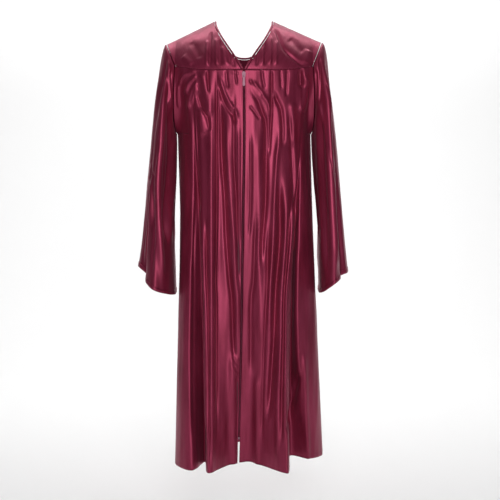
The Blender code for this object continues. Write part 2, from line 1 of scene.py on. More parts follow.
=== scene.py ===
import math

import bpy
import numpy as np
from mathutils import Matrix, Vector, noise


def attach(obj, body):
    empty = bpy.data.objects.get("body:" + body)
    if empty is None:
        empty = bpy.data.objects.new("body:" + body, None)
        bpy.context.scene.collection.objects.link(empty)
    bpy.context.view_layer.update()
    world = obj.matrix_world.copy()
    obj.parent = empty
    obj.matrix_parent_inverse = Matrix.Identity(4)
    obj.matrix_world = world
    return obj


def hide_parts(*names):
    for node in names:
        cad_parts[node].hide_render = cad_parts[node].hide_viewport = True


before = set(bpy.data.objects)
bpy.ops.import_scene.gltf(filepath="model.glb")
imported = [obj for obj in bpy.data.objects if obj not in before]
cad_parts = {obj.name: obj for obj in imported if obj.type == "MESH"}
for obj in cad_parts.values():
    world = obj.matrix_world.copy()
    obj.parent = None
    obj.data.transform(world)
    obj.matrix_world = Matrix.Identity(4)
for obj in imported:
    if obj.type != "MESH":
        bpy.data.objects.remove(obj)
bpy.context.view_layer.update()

# Looks of the satin graduation gown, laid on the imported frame.  Metres, +Z up, the front faces
# -Y and the wearer's left is +X.  "Across" is the distance from the gown's middle plane,
# "forward" the distance in front of the shoulder line.  The cloth repeats the frame's own
# tables at a finer pitch, and creases are then pressed into it, each a path drawn on the cloth.

RIGHT = -1.0
LEFT = 1.0
SIDE_NAMES = {RIGHT: "right", LEFT: "left"}

# ---------------------------------------------------------------- sizes shared with the frame

WALL = 0.0010
YOKE_SEAM_GAP = 0.0005
NECK_SEAM_GAP = 0.0009
SIDE_SEAM_GAP = 0.0006
SHOULDER_SEAM_GAP = 0.0008
ARMHOLE_GAP = 0.0026

NECK_HALF = 0.0736
NECK_LEAVES_DOWN = (0.0730, -0.036)
NECK_ARRIVES = (0.0260, -0.090)
NECK_POINT = (0.0006, -0.1370)
BACK_NECK_DROP = 0.085
BINDING_WIDTH = 0.005

SHOULDER_ACROSS = 0.2060
SHOULDER_DROP = {RIGHT: 0.061, LEFT: 0.056}
SHOULDER_ROUNDNESS = 1.6
YOKE_CORNER_ACROSS = 0.181
YOKE_SEAM_Z = -0.1385
YOKE_SEAM_RISE = 0.0150
YOKE_HALF_GIRTH = 0.209
YOKE_FRONT_DEPTH = 0.130
YOKE_BACK_DEPTH = 0.120
ARMHOLE_ACROSS = 0.178
ARMHOLE_BULGE = 0.007

YOKE, CHEST, WAIST, THIGH, HEM = -0.1385, -0.300, -0.560, -0.850, -1.180
GIRTH_LEVELS = (YOKE, CHEST, WAIST, THIGH, HEM)

# Side seams: across, and forward, at chest, waist, thigh and hem, then the hem's lift
SIDE_SEAMS = {
    RIGHT: ((0.178, 0.0), (0.172, 0.0), (0.177, 0.0), (0.183, 0.0), 0.000),
    LEFT: ((0.178, 0.0), (0.186, 0.0), (0.199, 0.0), (0.216, -0.02), 0.012),
}

# Front folds, from the zip to the side.  Each row: name, across at the yoke seam, then
# (across, forward) at chest, waist, thigh and hem, then how far the hem lifts there.
FRONT_FOLDS = {
    RIGHT: (
        ("zip_edge", 0.0027, (0.0015, 0.138), (0.0055, 0.134), (0.010, 0.127), (0.0175, 0.103), 0.008),
        ("valley", 0.030, (0.031, 0.137), (0.031, 0.135), (0.033, 0.130), (0.038, 0.112), 0.006),
        ("inner_pleat", 0.069, (0.069, 0.122), (0.069, 0.126), (0.069, 0.137), (0.068, 0.150), 0.002),
        ("front_flute", 0.095, (0.092, 0.118), (0.088, 0.130), (0.085, 0.150), (0.084, 0.175), 0.000),
        ("outer_pleat", 0.121, (0.124, 0.102), (0.111, 0.118), (0.100, 0.138), (0.097, 0.165), 0.000),
        ("side_trough", 0.130, (0.129, 0.090), (0.116, 0.084), (0.107, 0.076), (0.104, 0.080), 0.006),
        ("side_flute", 0.150, (0.140, 0.083), (0.137, 0.098), (0.146, 0.110), (0.136, 0.138), -0.003),
        ("side_front", 0.168, (0.163, 0.045), (0.167, 0.062), (0.174, 0.072), (0.181, 0.085), 0.000),
    ),
    LEFT: (
        ("zip_edge", 0.0027, (0.0040, 0.138), (0.0000, 0.134), (-0.0045, 0.127), (-0.0129, 0.103), 0.010),
        ("valley", 0.035, (0.034, 0.136), (0.030, 0.136), (0.024, 0.128), (0.016, 0.102), 0.012),
        ("inner_pleat", 0.072, (0.068, 0.122), (0.065, 0.128), (0.054, 0.138), (0.050, 0.122), 0.006),
        ("front_flute", 0.107, (0.100, 0.117), (0.107, 0.128), (0.100, 0.150), (0.102, 0.173), 0.000),
        ("outer_pleat", 0.143, (0.143, 0.090), (0.128, 0.112), (0.117, 0.138), (0.117, 0.162), 0.000),
        ("side_trough", 0.150, (0.148, 0.080), (0.133, 0.080), (0.123, 0.072), (0.122, 0.062), 0.018),
        ("side_flute", 0.160, (0.156, 0.068), (0.147, 0.097), (0.145, 0.106), (0.172, 0.074), 0.014),
        ("side_front", 0.170, (0.168, 0.042), (0.179, 0.055), (0.190, 0.066), (0.208, 0.035), 0.012),
    ),
}

# Back girth: depth behind the shoulder line at each level, and the folds round it.  Each fold
# row: name, its turn from the left side seam (0) to the right one (1), and how far it lies
# inside the girth at the yoke seam, chest, waist, thigh and hem.
BACK_DEPTHS = (0.120, 0.130, 0.150, 0.175, 0.200)
BACK_FOLDS = (
    ("left_trough", 0.09, (0.000, 0.002, 0.012, 0.026, 0.040)),
    ("left_flute", 0.18, (0.000, 0.000, 0.002, 0.003, 0.000)),
    ("left_pleat", 0.27, (0.002, 0.008, 0.020, 0.034, 0.050)),
    ("left_back_flute", 0.36, (0.000, 0.000, 0.000, 0.000, 0.000)),
    ("middle_left_pleat", 0.44, (0.002, 0.006, 0.016, 0.030, 0.046)),
    ("middle_flute", 0.52, (0.000, 0.000, 0.000, 0.002, 0.004)),
    ("middle_right_pleat", 0.60, (0.002, 0.008, 0.018, 0.028, 0.040)),
    ("right_back_flute", 0.68, (0.000, 0.000, 0.000, 0.000, 0.000)),
    ("right_pleat", 0.77, (0.002, 0.007, 0.020, 0.036, 0.048)),
    ("right_flute", 0.85, (0.000, 0.000, 0.001, 0.002, 0.003)),
    ("right_trough", 0.93, (0.000, 0.002, 0.010, 0.022, 0.034)),
)

# Cuffs, round from the outer line of the sleeve to the front, the body side and the back.
# Each row: name, across, forward and height.
CUFF_FOLDS = {
    RIGHT: (
        ("outer_line", 0.2830, 0.005, -0.654),
        ("outer_flute", 0.2780, 0.048, -0.657),
        ("outer_trough", 0.2560, 0.066, -0.674),
        ("front_edge", 0.2570, 0.100, -0.690),
        ("front_flute", 0.2340, 0.132, -0.710),
        ("front_body", 0.2020, 0.108, -0.722),
        ("body_front", 0.1875, 0.055, -0.728),
        ("body_line", 0.1860, 0.000, -0.729),
        ("body_back", 0.1900, -0.060, -0.727),
        ("back_flute", 0.2150, -0.122, -0.714),
        ("back_trough", 0.2390, -0.094, -0.692),
        ("back_outer", 0.2680, -0.072, -0.668),
    ),
    LEFT: (
        ("outer_line", 0.2790, 0.005, -0.669),
        ("outer_flute", 0.2740, 0.050, -0.671),
        ("outer_trough", 0.2560, 0.066, -0.677),
        ("front_edge", 0.2520, 0.098, -0.682),
        ("front_flute", 0.2370, 0.128, -0.694),
        ("front_body", 0.2130, 0.104, -0.714),
        ("body_front", 0.2040, 0.055, -0.723),
        ("body_line", 0.2030, 0.000, -0.724),
        ("body_back", 0.2060, -0.060, -0.722),
        ("back_flute", 0.2240, -0.122, -0.710),
        ("back_trough", 0.2430, -0.094, -0.696),
        ("back_outer", 0.2660, -0.072, -0.680),
    ),
}
SLEEVE_CROWDING = 1.35
ARMHOLE_MIDDLE_Z = -0.185
CUFF_FLARE = 0.024

ZIP_TOP_Z = -0.166
ZIP_END_Z = -1.100
TAPE_WIDTH = 0.0098
TAPE_START = 0.0005
TAPE_BEHIND = 0.0012
TAPE_WALL = 0.0007
SLIDER_TOP_Z = -0.1440

# ---------------------------------------------------------------- sizes of the looks

# Pitch of the cloth: columns to each fold, rows on the armhole's stretch, rows below it
FRONT_PITCH = (18, 62, 170)
BACK_PITCH = (16, 44, 130)
YOKE_PITCH = (80, 60)
SLEEVE_PITCH = (176, 140)
HEM_TURN = 0.0090
STITCH = {"length": 0.0026, "gap": 0.0014, "radius": 0.00034, "sides": 5}
TOPSTITCH_FROM_ZIP = 0.0095
TOPSTITCH_ABOVE_SEAM = 0.0030
TURN_INSIDE = 0.0004
BINDING_HALF_THICKNESS = 0.0013
BODY_SIDE = 0.196

# Zip teeth: pitch, wire radius, and the loop of one tooth as (across, behind, up)
TOOTH_PITCH = 0.0018
TOOTH_WIRE = 0.00042
TOOTH_LOOP = ((0.0019, 0.0006, 0.0), (0.0008, -0.0003, 0.0001), (-0.0004, -0.0004, 0.0),
              (-0.0004, 0.0005, 0.0), (0.0009, 0.0008, -0.0001))

# Creases.  Each row: name, height (a ridge is positive, a trough negative), its softness on
# the side towards the zip, its softness on the side away from it, and its path, as (across,
# z) points drawn on the front view.
FRONT_CREASES = {
    RIGHT: (
        ("pleat_groove", -0.007, 0.0030, 0.0035,
         ((0.070, -0.115), (0.0695, -0.32), (0.0695, -0.475), (0.071, -0.58), (0.0735, -0.683),
          (0.072, -0.74), (0.071, -0.84), (0.070, -1.00), (0.069, -1.12))),
        ("pleat_lip", 0.003, 0.0028, 0.0030,
         ((0.0655, -0.16), (0.0655, -0.32), (0.0665, -0.475), (0.067, -0.58), (0.069, -0.72))),
        ("pleat_face", 0.005, 0.0090, 0.0080,
         ((0.083, -0.12), (0.084, -0.32), (0.083, -0.60), (0.083, -0.84), (0.082, -1.00),
          (0.082, -1.15))),
        ("leaning_trough", -0.009, 0.0075, 0.0040,
         ((0.061, -0.20), (0.059, -0.32), (0.057, -0.372), (0.050, -0.475), (0.046, -0.58),
          (0.038, -0.683), (0.032, -0.735), (0.029, -0.84), (0.023, -0.95))),
        ("leaning_ridge", 0.004, 0.0070, 0.0080,
         ((0.047, -0.24), (0.044, -0.32), (0.0345, -0.475), (0.025, -0.58), (0.021, -0.683),
          (0.016, -0.735), (0.014, -0.87))),
        ("zip_groove", -0.005, 0.0035, 0.0045,
         ((0.025, -0.19), (0.025, -0.372), (0.019, -0.475), (0.0165, -0.58), (0.012, -0.70))),
        ("zip_ridge", 0.003, 0.0030, 0.0030,
         ((0.0125, -0.28), (0.0125, -0.475), (0.0125, -0.60))),
        ("outer_groove", -0.006, 0.0040, 0.0035,
         ((0.099, -0.50), (0.097, -0.683), (0.094, -0.735), (0.0915, -0.84), (0.0915, -1.0),
          (0.088, -1.10), (0.087, -1.20))),
        ("outer_lip", 0.005, 0.0045, 0.0035,
         ((0.106, -0.52), (0.103, -0.683), (0.100, -0.735), (0.099, -0.84), (0.098, -1.0),
          (0.094, -1.12))),
        ("side_groove", -0.004, 0.0035, 0.0035,
         ((0.124, -0.44), (0.131, -0.60), (0.132, -0.70), (0.134, -0.84), (0.134, -1.0),
          (0.132, -1.12))),
        ("side_face", 0.004, 0.0060, 0.0060,
         ((0.141, -0.60), (0.141, -0.75), (0.143, -0.90), (0.141, -1.10))),
        ("corner_fold_1", 0.005, 0.0040, 0.0035,
         ((0.122, -0.141), (0.150, -0.146), (0.163, -0.156), (0.171, -0.178))),
        ("corner_fold_2", 0.005, 0.0045, 0.0035,
         ((0.121, -0.150), (0.136, -0.163), (0.147, -0.177), (0.153, -0.200))),
        ("corner_fold_3", 0.005, 0.0050, 0.0040,
         ((0.120, -0.166), (0.132, -0.186), (0.140, -0.204), (0.147, -0.242))),
        ("corner_fold_4", 0.004, 0.0040, 0.0040,
         ((0.121, -0.182), (0.130, -0.200), (0.137, -0.225))),
        ("armhole_roll", 0.004, 0.0040, 0.0040,
         ((0.172, -0.170), (0.174, -0.20), (0.172, -0.235))),
        ("leaf", 0.007, 0.0110, 0.0080,
         ((0.114, -0.137), (0.104, -0.17), (0.096, -0.215), (0.092, -0.265))),
        ("leaf_shade", -0.006, 0.0040, 0.0045,
         ((0.122, -0.195), (0.1085, -0.238), (0.094, -0.262), (0.088, -0.30))),
        ("lobe", 0.006, 0.0120, 0.0090,
         ((0.114, -0.235), (0.109, -0.27), (0.105, -0.31))),
        ("side_pocket", -0.006, 0.0050, 0.0070,
         ((0.124, -0.24), (0.121, -0.32), (0.118, -0.42), (0.115, -0.52))),
        ("swag", 0.005, 0.0045, 0.0040,
         ((0.064, -0.152), (0.051, -0.196), (0.036, -0.227), (0.023, -0.243), (0.016, -0.270))),
        ("swag_shade", -0.006, 0.0040, 0.0050,
         ((0.068, -0.168), (0.056, -0.208), (0.041, -0.240), (0.028, -0.258), (0.021, -0.285))),
        ("seam_streak", 0.003, 0.0030, 0.0035,
         ((0.050, -0.134), (0.030, -0.142), (0.012, -0.152))),
        ("gather_1", -0.004, 0.0030, 0.0040,
         ((0.046, -0.12), (0.044, -0.16), (0.040, -0.19))),
        ("gather_2", -0.004, 0.0030, 0.0030,
         ((0.094, -0.12), (0.093, -0.16), (0.090, -0.20))),
        ("gather_3", -0.003, 0.0030, 0.0030,
         ((0.022, -0.12), (0.021, -0.15), (0.018, -0.18))),
        ("knee_wrinkle_1", 0.0022, 0.0030, 0.0030, ((0.034, -0.874), (0.024, -0.884), (0.013, -0.900))),
        ("knee_wrinkle_2", 0.0022, 0.0030, 0.0030, ((0.032, -0.892), (0.023, -0.904), (0.014, -0.918))),
        ("knee_wrinkle_3", 0.0018, 0.0030, 0.0030, ((0.030, -0.913), (0.022, -0.926), (0.014, -0.936))),
        ("hem_flute", 0.006, 0.0090, 0.0090, ((0.030, -0.86), (0.029, -1.00), (0.026, -1.22))),
        ("hem_slit", -0.005, 0.0035, 0.0040, ((0.017, -0.93), (0.015, -1.05), (0.0165, -1.15))),
    ),
    LEFT: (
        ("pleat_groove", -0.006, 0.0035, 0.0030,
         ((0.072, -0.115), (0.072, -0.233), (0.069, -0.294), (0.065, -0.372))),
        ("lower_groove", -0.005, 0.0035, 0.0035,
         ((0.065, -0.52), (0.0615, -0.631), (0.061, -0.704), (0.054, -0.83), (0.049, -0.996),
          (0.047, -1.12))),
        ("swept_trough", -0.009, 0.0050, 0.0055,
         ((0.014, -0.180), (0.0265, -0.205), (0.038, -0.222), (0.048, -0.250), (0.0570, -0.280),
          (0.0576, -0.372), (0.056, -0.475), (0.048, -0.58), (0.044, -0.66))),
        ("swept_line_1", -0.004, 0.0030, 0.0030,
         ((0.012, -0.163), (0.029, -0.183), (0.050, -0.208))),
        ("swept_line_2", -0.004, 0.0030, 0.0030,
         ((0.014, -0.232), (0.0265, -0.246), (0.042, -0.268))),
        ("swept_band", 0.005, 0.0050, 0.0050,
         ((0.018, -0.166), (0.034, -0.186), (0.050, -0.207), (0.064, -0.228), (0.068, -0.26))),
        ("flute_shade", -0.008, 0.0045, 0.0060,
         ((0.073, -0.19), (0.088, -0.222), (0.0965, -0.243), (0.101, -0.285), (0.099, -0.34))),
        ("chest_lobe", 0.006, 0.0090, 0.0110,
         ((0.126, -0.215), (0.128, -0.27), (0.126, -0.34))),
        ("corner_hollow", -0.013, 0.0060, 0.0060,
         ((0.147, -0.128), (0.149, -0.150), (0.151, -0.184))),
        ("corner_puff", 0.008, 0.0080, 0.0080,
         ((0.163, -0.145), (0.166, -0.180), (0.160, -0.215), (0.147, -0.250))),
        ("front_ridge", 0.006, 0.0060, 0.0060,
         ((0.094, -0.27), (0.0915, -0.32), (0.085, -0.372), (0.080, -0.475), (0.076, -0.58),
          (0.069, -0.683), (0.067, -0.735), (0.063, -0.86))),
        ("deep_trough", -0.016, 0.0065, 0.0075,
         ((0.094, -0.40), (0.0935, -0.475), (0.094, -0.58), (0.085, -0.683), (0.082, -0.735),
          (0.078, -0.84), (0.067, -0.998), (0.062, -1.07))),
        ("outer_ridge", 0.005, 0.0060, 0.0050,
         ((0.114, -0.44), (0.112, -0.50), (0.108, -0.58), (0.101, -0.683), (0.0975, -0.735),
          (0.096, -0.84), (0.089, -0.998), (0.087, -1.104), (0.087, -1.20))),
        ("outer_groove", -0.007, 0.0040, 0.0040,
         ((0.126, -0.44), (0.123, -0.50), (0.116, -0.58), (0.107, -0.683), (0.104, -0.735),
          (0.102, -0.84), (0.0985, -0.998), (0.098, -1.13))),
        ("lip", 0.005, 0.0035, 0.0035,
         ((0.129, -0.46), (0.122, -0.58), (0.1125, -0.683), (0.109, -0.735), (0.108, -0.84),
          (0.106, -1.00), (0.106, -1.12))),
        ("side_pocket", -0.008, 0.0050, 0.0055,
         ((0.117, -0.235), (0.123, -0.32), (0.126, -0.372), (0.133, -0.475), (0.137, -0.54))),
        ("middle_trough", -0.006, 0.0050, 0.0070,
         ((0.032, -0.50), (0.029, -0.58), (0.025, -0.683), (0.019, -0.735), (0.0175, -0.84),
          (0.018, -0.94))),
        ("zip_groove", -0.004, 0.0030, 0.0040,
         ((0.018, -0.30), (0.018, -0.475), (0.013, -0.58))),
        ("middle_face", 0.004, 0.0090, 0.0090,
         ((0.036, -0.28), (0.041, -0.475), (0.039, -0.58), (0.043, -0.70), (0.040, -0.86))),
        ("hem_crossing", -0.007, 0.0060, 0.0070,
         ((0.150, -0.925), (0.136, -0.975), (0.122, -1.030), (0.112, -1.080))),
        ("side_face", 0.005, 0.0070, 0.0070,
         ((0.140, -0.58), (0.138, -0.74), (0.140, -0.86), (0.150, -0.98))),
        ("side_fold", 0.006, 0.0060, 0.0060,
         ((0.158, -0.86), (0.163, -0.98), (0.168, -1.10), (0.174, -1.20))),
        ("gather_1", -0.004, 0.0030, 0.0040,
         ((0.046, -0.12), (0.048, -0.16), (0.054, -0.19))),
        ("gather_2", -0.005, 0.0035, 0.0035,
         ((0.112, -0.12), (0.112, -0.16), (0.110, -0.21))),
        ("gather_3", -0.003, 0.0030, 0.0030,
         ((0.094, -0.12), (0.095, -0.15), (0.098, -0.19))),
        ("hem_flute", 0.006, 0.0090, 0.0090, ((0.032, -0.92), (0.034, -1.05), (0.034, -1.22))),
    ),
}

# The yokes' creases, drawn in the same way: soft folds that hang from the neck.
YOKE_CREASES = {
    RIGHT: (
        ("neck_fold_1", 0.0030, 0.0035, 0.0035, ((0.072, -0.050), (0.071, -0.090), (0.070, -0.130))),
        ("neck_fold_1_shade", -0.0035, 0.0032, 0.0032,
         ((0.086, -0.030), (0.087, -0.070), (0.088, -0.132))),
        ("neck_fold_2", 0.0030, 0.0035, 0.0035, ((0.095, -0.055), (0.096, -0.095), (0.096, -0.132))),
        ("neck_fold_2_shade", -0.0025, 0.0040, 0.0040,
         ((0.062, -0.055), (0.061, -0.095), (0.060, -0.130))),
        ("neck_fold_3", 0.0024, 0.0050, 0.0050, ((0.056, -0.075), (0.050, -0.105), (0.044, -0.130))),
        ("foot_shade_1", -0.0022, 0.0030, 0.0030, ((0.038, -0.090), (0.036, -0.125))),
        ("foot_shade_2", -0.0022, 0.0030, 0.0030, ((0.027, -0.112), (0.026, -0.132))),
        ("shoulder_slope", 0.0022, 0.0080, 0.0080,
         ((0.161, -0.098), (0.147, -0.112), (0.134, -0.124))),
        ("shoulder_shade", -0.0020, 0.0090, 0.0090,
         ((0.140, -0.060), (0.125, -0.080), (0.114, -0.110))),
    ),
    LEFT: (
        ("neck_drag", -0.0040, 0.0040, 0.0045,
         ((0.076, -0.020), (0.089, -0.042), (0.102, -0.078), (0.120, -0.100), (0.146, -0.120),
          (0.168, -0.130))),
        ("neck_fold_1", 0.0028, 0.0034, 0.0034, ((0.070, -0.042), (0.069, -0.085), (0.068, -0.130))),
        ("neck_fold_1_shade", -0.0030, 0.0030, 0.0030,
         ((0.058, -0.060), (0.057, -0.095), (0.056, -0.130))),
        ("neck_fold_2", 0.0028, 0.0034, 0.0034, ((0.048, -0.075), (0.048, -0.130))),
        ("neck_fold_2_shade", -0.0026, 0.0032, 0.0032, ((0.036, -0.090), (0.034, -0.130))),
        ("neck_fold_3", 0.0028, 0.0040, 0.0040, ((0.084, -0.058), (0.083, -0.130))),
        ("shoulder_patch", 0.0030, 0.0090, 0.0090,
         ((0.172, -0.080), (0.166, -0.100), (0.160, -0.120))),
        ("shoulder_shade", -0.0022, 0.0100, 0.0100,
         ((0.120, -0.050), (0.140, -0.075), (0.158, -0.090))),
    ),
}

# The sleeves' creases on their front half; the back half repeats them a little shifted.
SLEEVE_CREASES = {
    RIGHT: (
        ("outer_face", 0.006, 0.0090, 0.0110,
         ((0.208, -0.085), (0.216, -0.146), (0.229, -0.238), (0.2425, -0.3435), (0.2556, -0.476),
          (0.270, -0.609), (0.276, -0.70))),
        ("outer_shade", -0.007, 0.0050, 0.0060,
         ((0.213, -0.18), (0.222, -0.25), (0.233, -0.345), (0.247, -0.476), (0.257, -0.60),
          (0.262, -0.70))),
        ("middle_line", 0.006, 0.0040, 0.0045,
         ((0.2024, -0.112), (0.2184, -0.198), (0.2264, -0.290), (0.237, -0.380), (0.2423, -0.449),
          (0.2397, -0.529), (0.236, -0.582), (0.240, -0.64), (0.241, -0.72))),
        ("middle_shade", -0.010, 0.0065, 0.0060,
         ((0.207, -0.16), (0.214, -0.25), (0.220, -0.35), (0.226, -0.45), (0.224, -0.56),
          (0.219, -0.65), (0.214, -0.73))),
        ("inner_line", 0.006, 0.0040, 0.0040,
         ((0.200, -0.172), (0.200, -0.30), (0.201, -0.397), (0.206, -0.476), (0.2104, -0.542),
          (0.205, -0.590), (0.1925, -0.635))),
        ("inner_shade", -0.008, 0.0050, 0.0050,
         ((0.188, -0.30), (0.190, -0.40), (0.194, -0.48), (0.199, -0.56), (0.196, -0.62))),
        ("body_line", 0.005, 0.0040, 0.0040,
         ((0.172, -0.286), (0.174, -0.317), (0.179, -0.383), (0.185, -0.489), (0.196, -0.596))),
        ("armhole_line", 0.005, 0.0040, 0.0045,
         ((0.196, -0.150), (0.190, -0.225), (0.180, -0.275))),
        ("armhole_shade", -0.005, 0.0040, 0.0040,
         ((0.201, -0.120), (0.196, -0.20), (0.188, -0.275))),
        ("elbow_cross_1", 0.004, 0.0050, 0.0060,
         ((0.255, -0.395), (0.244, -0.425), (0.230, -0.440))),
        ("elbow_cross_2", -0.003, 0.0050, 0.0050,
         ((0.258, -0.430), (0.246, -0.462), (0.236, -0.482))),
    ),
    LEFT: (
        ("outer_face", 0.006, 0.0080, 0.0100,
         ((0.2157, -0.078), (0.2237, -0.146), (0.2317, -0.238), (0.2397, -0.370), (0.2477, -0.502),
          (0.2556, -0.609), (0.262, -0.70))),
        ("inner_face", 0.004, 0.0050, 0.0050,
         ((0.234, -0.40), (0.239, -0.47), (0.245, -0.556), (0.2477, -0.66))),
        ("outer_shade", -0.005, 0.0035, 0.0040,
         ((0.236, -0.36), (0.243, -0.50), (0.251, -0.61), (0.254, -0.69))),
        ("middle_shade", -0.011, 0.0075, 0.0060,
         ((0.209, -0.11), (0.218, -0.20), (0.225, -0.30), (0.229, -0.40), (0.232, -0.50),
          (0.237, -0.60), (0.239, -0.71))),
        ("inner_line", 0.005, 0.0035, 0.0035,
         ((0.184, -0.255), (0.185, -0.317), (0.193, -0.449), (0.201, -0.542), (0.2035, -0.61))),
        ("second_line", 0.003, 0.0035, 0.0035,
         ((0.207, -0.26), (0.210, -0.36), (0.214, -0.46), (0.218, -0.58), (0.221, -0.70))),
        ("inner_shade", -0.008, 0.0050, 0.0060,
         ((0.197, -0.22), (0.200, -0.32), (0.204, -0.44), (0.209, -0.56), (0.210, -0.70))),
        ("armhole_line", 0.005, 0.0040, 0.0045,
         ((0.190, -0.150), (0.190, -0.215), (0.184, -0.265))),
        ("armhole_sliver", 0.004, 0.0035, 0.0035,
         ((0.201, -0.115), (0.203, -0.18), (0.200, -0.25))),
    ),
}

# The back's creases, from pleats pressed under its yoke; across is signed, + to the left.
BACK_CREASES = (
    ("left_side_pleat", -0.007, 0.0035, 0.0060,
     ((0.138, -0.115), (0.139, -0.32), (0.145, -0.60), (0.150, -0.86))),
    ("left_pleat", -0.008, 0.0035, 0.0070,
     ((0.096, -0.115), (0.097, -0.34), (0.101, -0.66), (0.104, -0.98), (0.106, -1.12))),
    ("left_inner_pleat", -0.008, 0.0035, 0.0070,
     ((0.050, -0.115), (0.049, -0.32), (0.052, -0.60), (0.055, -0.90))),
    ("middle_pleat", -0.006, 0.0040, 0.0040,
     ((0.004, -0.115), (0.003, -0.36), (0.006, -0.70), (0.009, -1.02))),
    ("right_inner_pleat", -0.008, 0.0070, 0.0035,
     ((-0.047, -0.115), (-0.048, -0.30), (-0.050, -0.58), (-0.056, -0.94))),
    ("right_pleat", -0.008, 0.0070, 0.0035,
     ((-0.094, -0.115), (-0.096, -0.36), (-0.098, -0.70), (-0.102, -1.08))),
    ("right_side_pleat", -0.007, 0.0060, 0.0035,
     ((-0.136, -0.115), (-0.138, -0.30), (-0.142, -0.56), (-0.146, -0.80))),
    ("left_face", 0.005, 0.0080, 0.0080,
     ((0.118, -0.14), (0.118, -0.40), (0.122, -0.70), (0.126, -1.04))),
    ("left_middle_face", 0.005, 0.0090, 0.0080,
     ((0.074, -0.15), (0.073, -0.44), (0.078, -0.80), (0.080, -1.16))),
    ("right_middle_face", 0.005, 0.0080, 0.0090,
     ((-0.070, -0.14), (-0.071, -0.40), (-0.074, -0.76), (-0.078, -1.12))),
    ("right_face", 0.005, 0.0080, 0.0080,
     ((-0.116, -0.15), (-0.117, -0.46), (-0.120, -0.78), (-0.126, -1.10))),
    ("sway_1", 0.005, 0.0060, 0.0050, ((0.028, -0.16), (0.020, -0.30), (0.014, -0.46), (0.016, -0.66))),
    ("sway_2", 0.005, 0.0050, 0.0060,
     ((-0.026, -0.15), (-0.022, -0.34), (-0.014, -0.52), (-0.016, -0.78))),
    ("drag_left", 0.004, 0.0045, 0.0045,
     ((0.166, -0.165), (0.150, -0.20), (0.128, -0.26), (0.112, -0.33))),
    ("drag_right", 0.004, 0.0045, 0.0045,
     ((-0.168, -0.170), (-0.150, -0.21), (-0.130, -0.275), (-0.116, -0.35))),
    ("hem_flute_1", 0.006, 0.0080, 0.0080, ((0.032, -0.80), (0.030, -1.00), (0.030, -1.20))),
    ("hem_flute_2", 0.006, 0.0080, 0.0080, ((-0.028, -0.84), (-0.030, -1.00), (-0.032, -1.20))),
)


# ---------------------------------------------------------------- curves through the tables

def smooth(knots, values, at):
    """The value at `at` on a smooth curve through `values`, which stand at `knots`."""
    falling = knots[0] > knots[-1]
    order = list(range(len(knots)))
    if falling:
        order.reverse()
    places = [knots[i] for i in order]
    heights = [values[i] for i in order]
    if at <= places[0]:
        return heights[0]
    if at >= places[-1]:
        return heights[-1]
    low = max(i for i in range(len(places) - 1) if places[i] <= at)
    span = places[low + 1] - places[low]

    def slope(i):
        before = max(i - 1, 0)
        after = min(i + 1, len(places) - 1)
        return (heights[after] - heights[before]) * (1.0 / (places[after] - places[before]))

    share = (at - places[low]) / span
    rest = 1.0 - share
    return (heights[low] * ((1.0 + 2.0 * share) * rest * rest)
            + slope(low) * (span * share * rest * rest)
            + heights[low + 1] * (share * share * (3.0 - 2.0 * share))
            - slope(low + 1) * (span * share * share * rest))


def thread(points, steps, closed=False):
    """Points on a smooth line through `points`, `steps` to each interval."""
    count = len(points)
    spans = count if closed else count - 1
    line = []
    for span in range(spans):
        start, end = points[span], points[(span + 1) % count]
        before = points[span - 1] if closed or span else start * 2.0 - end
        beyond = (points[(span + 2) % count] if closed or span + 2 < count
                  else end * 2.0 - start)
        for step in range(steps):
            line.append(between(before, start, end, beyond, step / steps))
    if not closed:
        line.append(points[-1].copy())
    return line


def between(before, start, end, beyond, share):
    """A point between start and end on the smooth line through four points."""
    return 0.5 * (start * 2.0
                  + (end - before) * share
                  + (before * 2.0 - start * 5.0 + end * 4.0 - beyond) * share ** 2
                  + (start * 3.0 - before - end * 3.0 + beyond) * share ** 3)


def bezier(points, share):
    """A point on the cubic Bezier curve of four points."""
    rest = 1.0 - share
    return (points[0] * rest ** 3 + points[1] * (3.0 * share * rest ** 2)
            + points[2] * (3.0 * share ** 2 * rest) + points[3] * share ** 3)


def grid_steps(count, crowding=1.0):
    """Shares from 0 to 1, closer together near 0 when crowding is over 1."""
    return [(step / count) ** crowding for step in range(count + 1)]


# ---------------------------------------------------------------- yokes and neck

def yoke_depth(across, full_depth):
    """How far the yoke seam stands from the shoulder line at this distance across."""
    turn = min(across, YOKE_CORNER_ACROSS) / YOKE_HALF_GIRTH
    return full_depth * math.sqrt(1.0 - turn ** 2)


def yoke_seam_z(across):
    return YOKE_SEAM_Z + YOKE_SEAM_RISE * (across / YOKE_CORNER_ACROSS) ** 4


def shoulder_z(side, across):
    """Height of the shoulder line, level inside the neck and sloping outside it."""
    share = (across - NECK_HALF) / (SHOULDER_ACROSS - NECK_HALF)
    return -SHOULDER_DROP[side] * max(share, 0.0)


def on_yoke(side, across, z, front):
    """The point of the yoke's rounded surface at this distance across and height."""
    top = shoulder_z(side, across)
    fall = (top - z) / (top - yoke_seam_z(across))
    fall = min(max(fall, 0.0), 1.0)
    curve = SHOULDER_ROUNDNESS
    reach = (1.0 - (1.0 - fall) ** curve) ** (1.0 / curve)
    depth = yoke_depth(across, YOKE_FRONT_DEPTH if front else YOKE_BACK_DEPTH)
    y = SHOULDER_SEAM_GAP / 2 + depth * reach
    return Vector((side * across, -y if front else y, z))


def front_neck(share, inset):
    """(across, z) on the V neck, from the shoulder to its point, moved into the cloth."""
    legs = [Vector(leg) for leg in
            ((NECK_HALF, 0.0), NECK_LEAVES_DOWN, NECK_ARRIVES, NECK_POINT)]
    here = bezier(legs, share)
    run = bezier(legs, min(share + 0.01, 1.0)) - bezier(legs, max(share - 0.01, 0.0))
    out = Vector((-run.y, run.x)).normalized()
    return here + out * inset


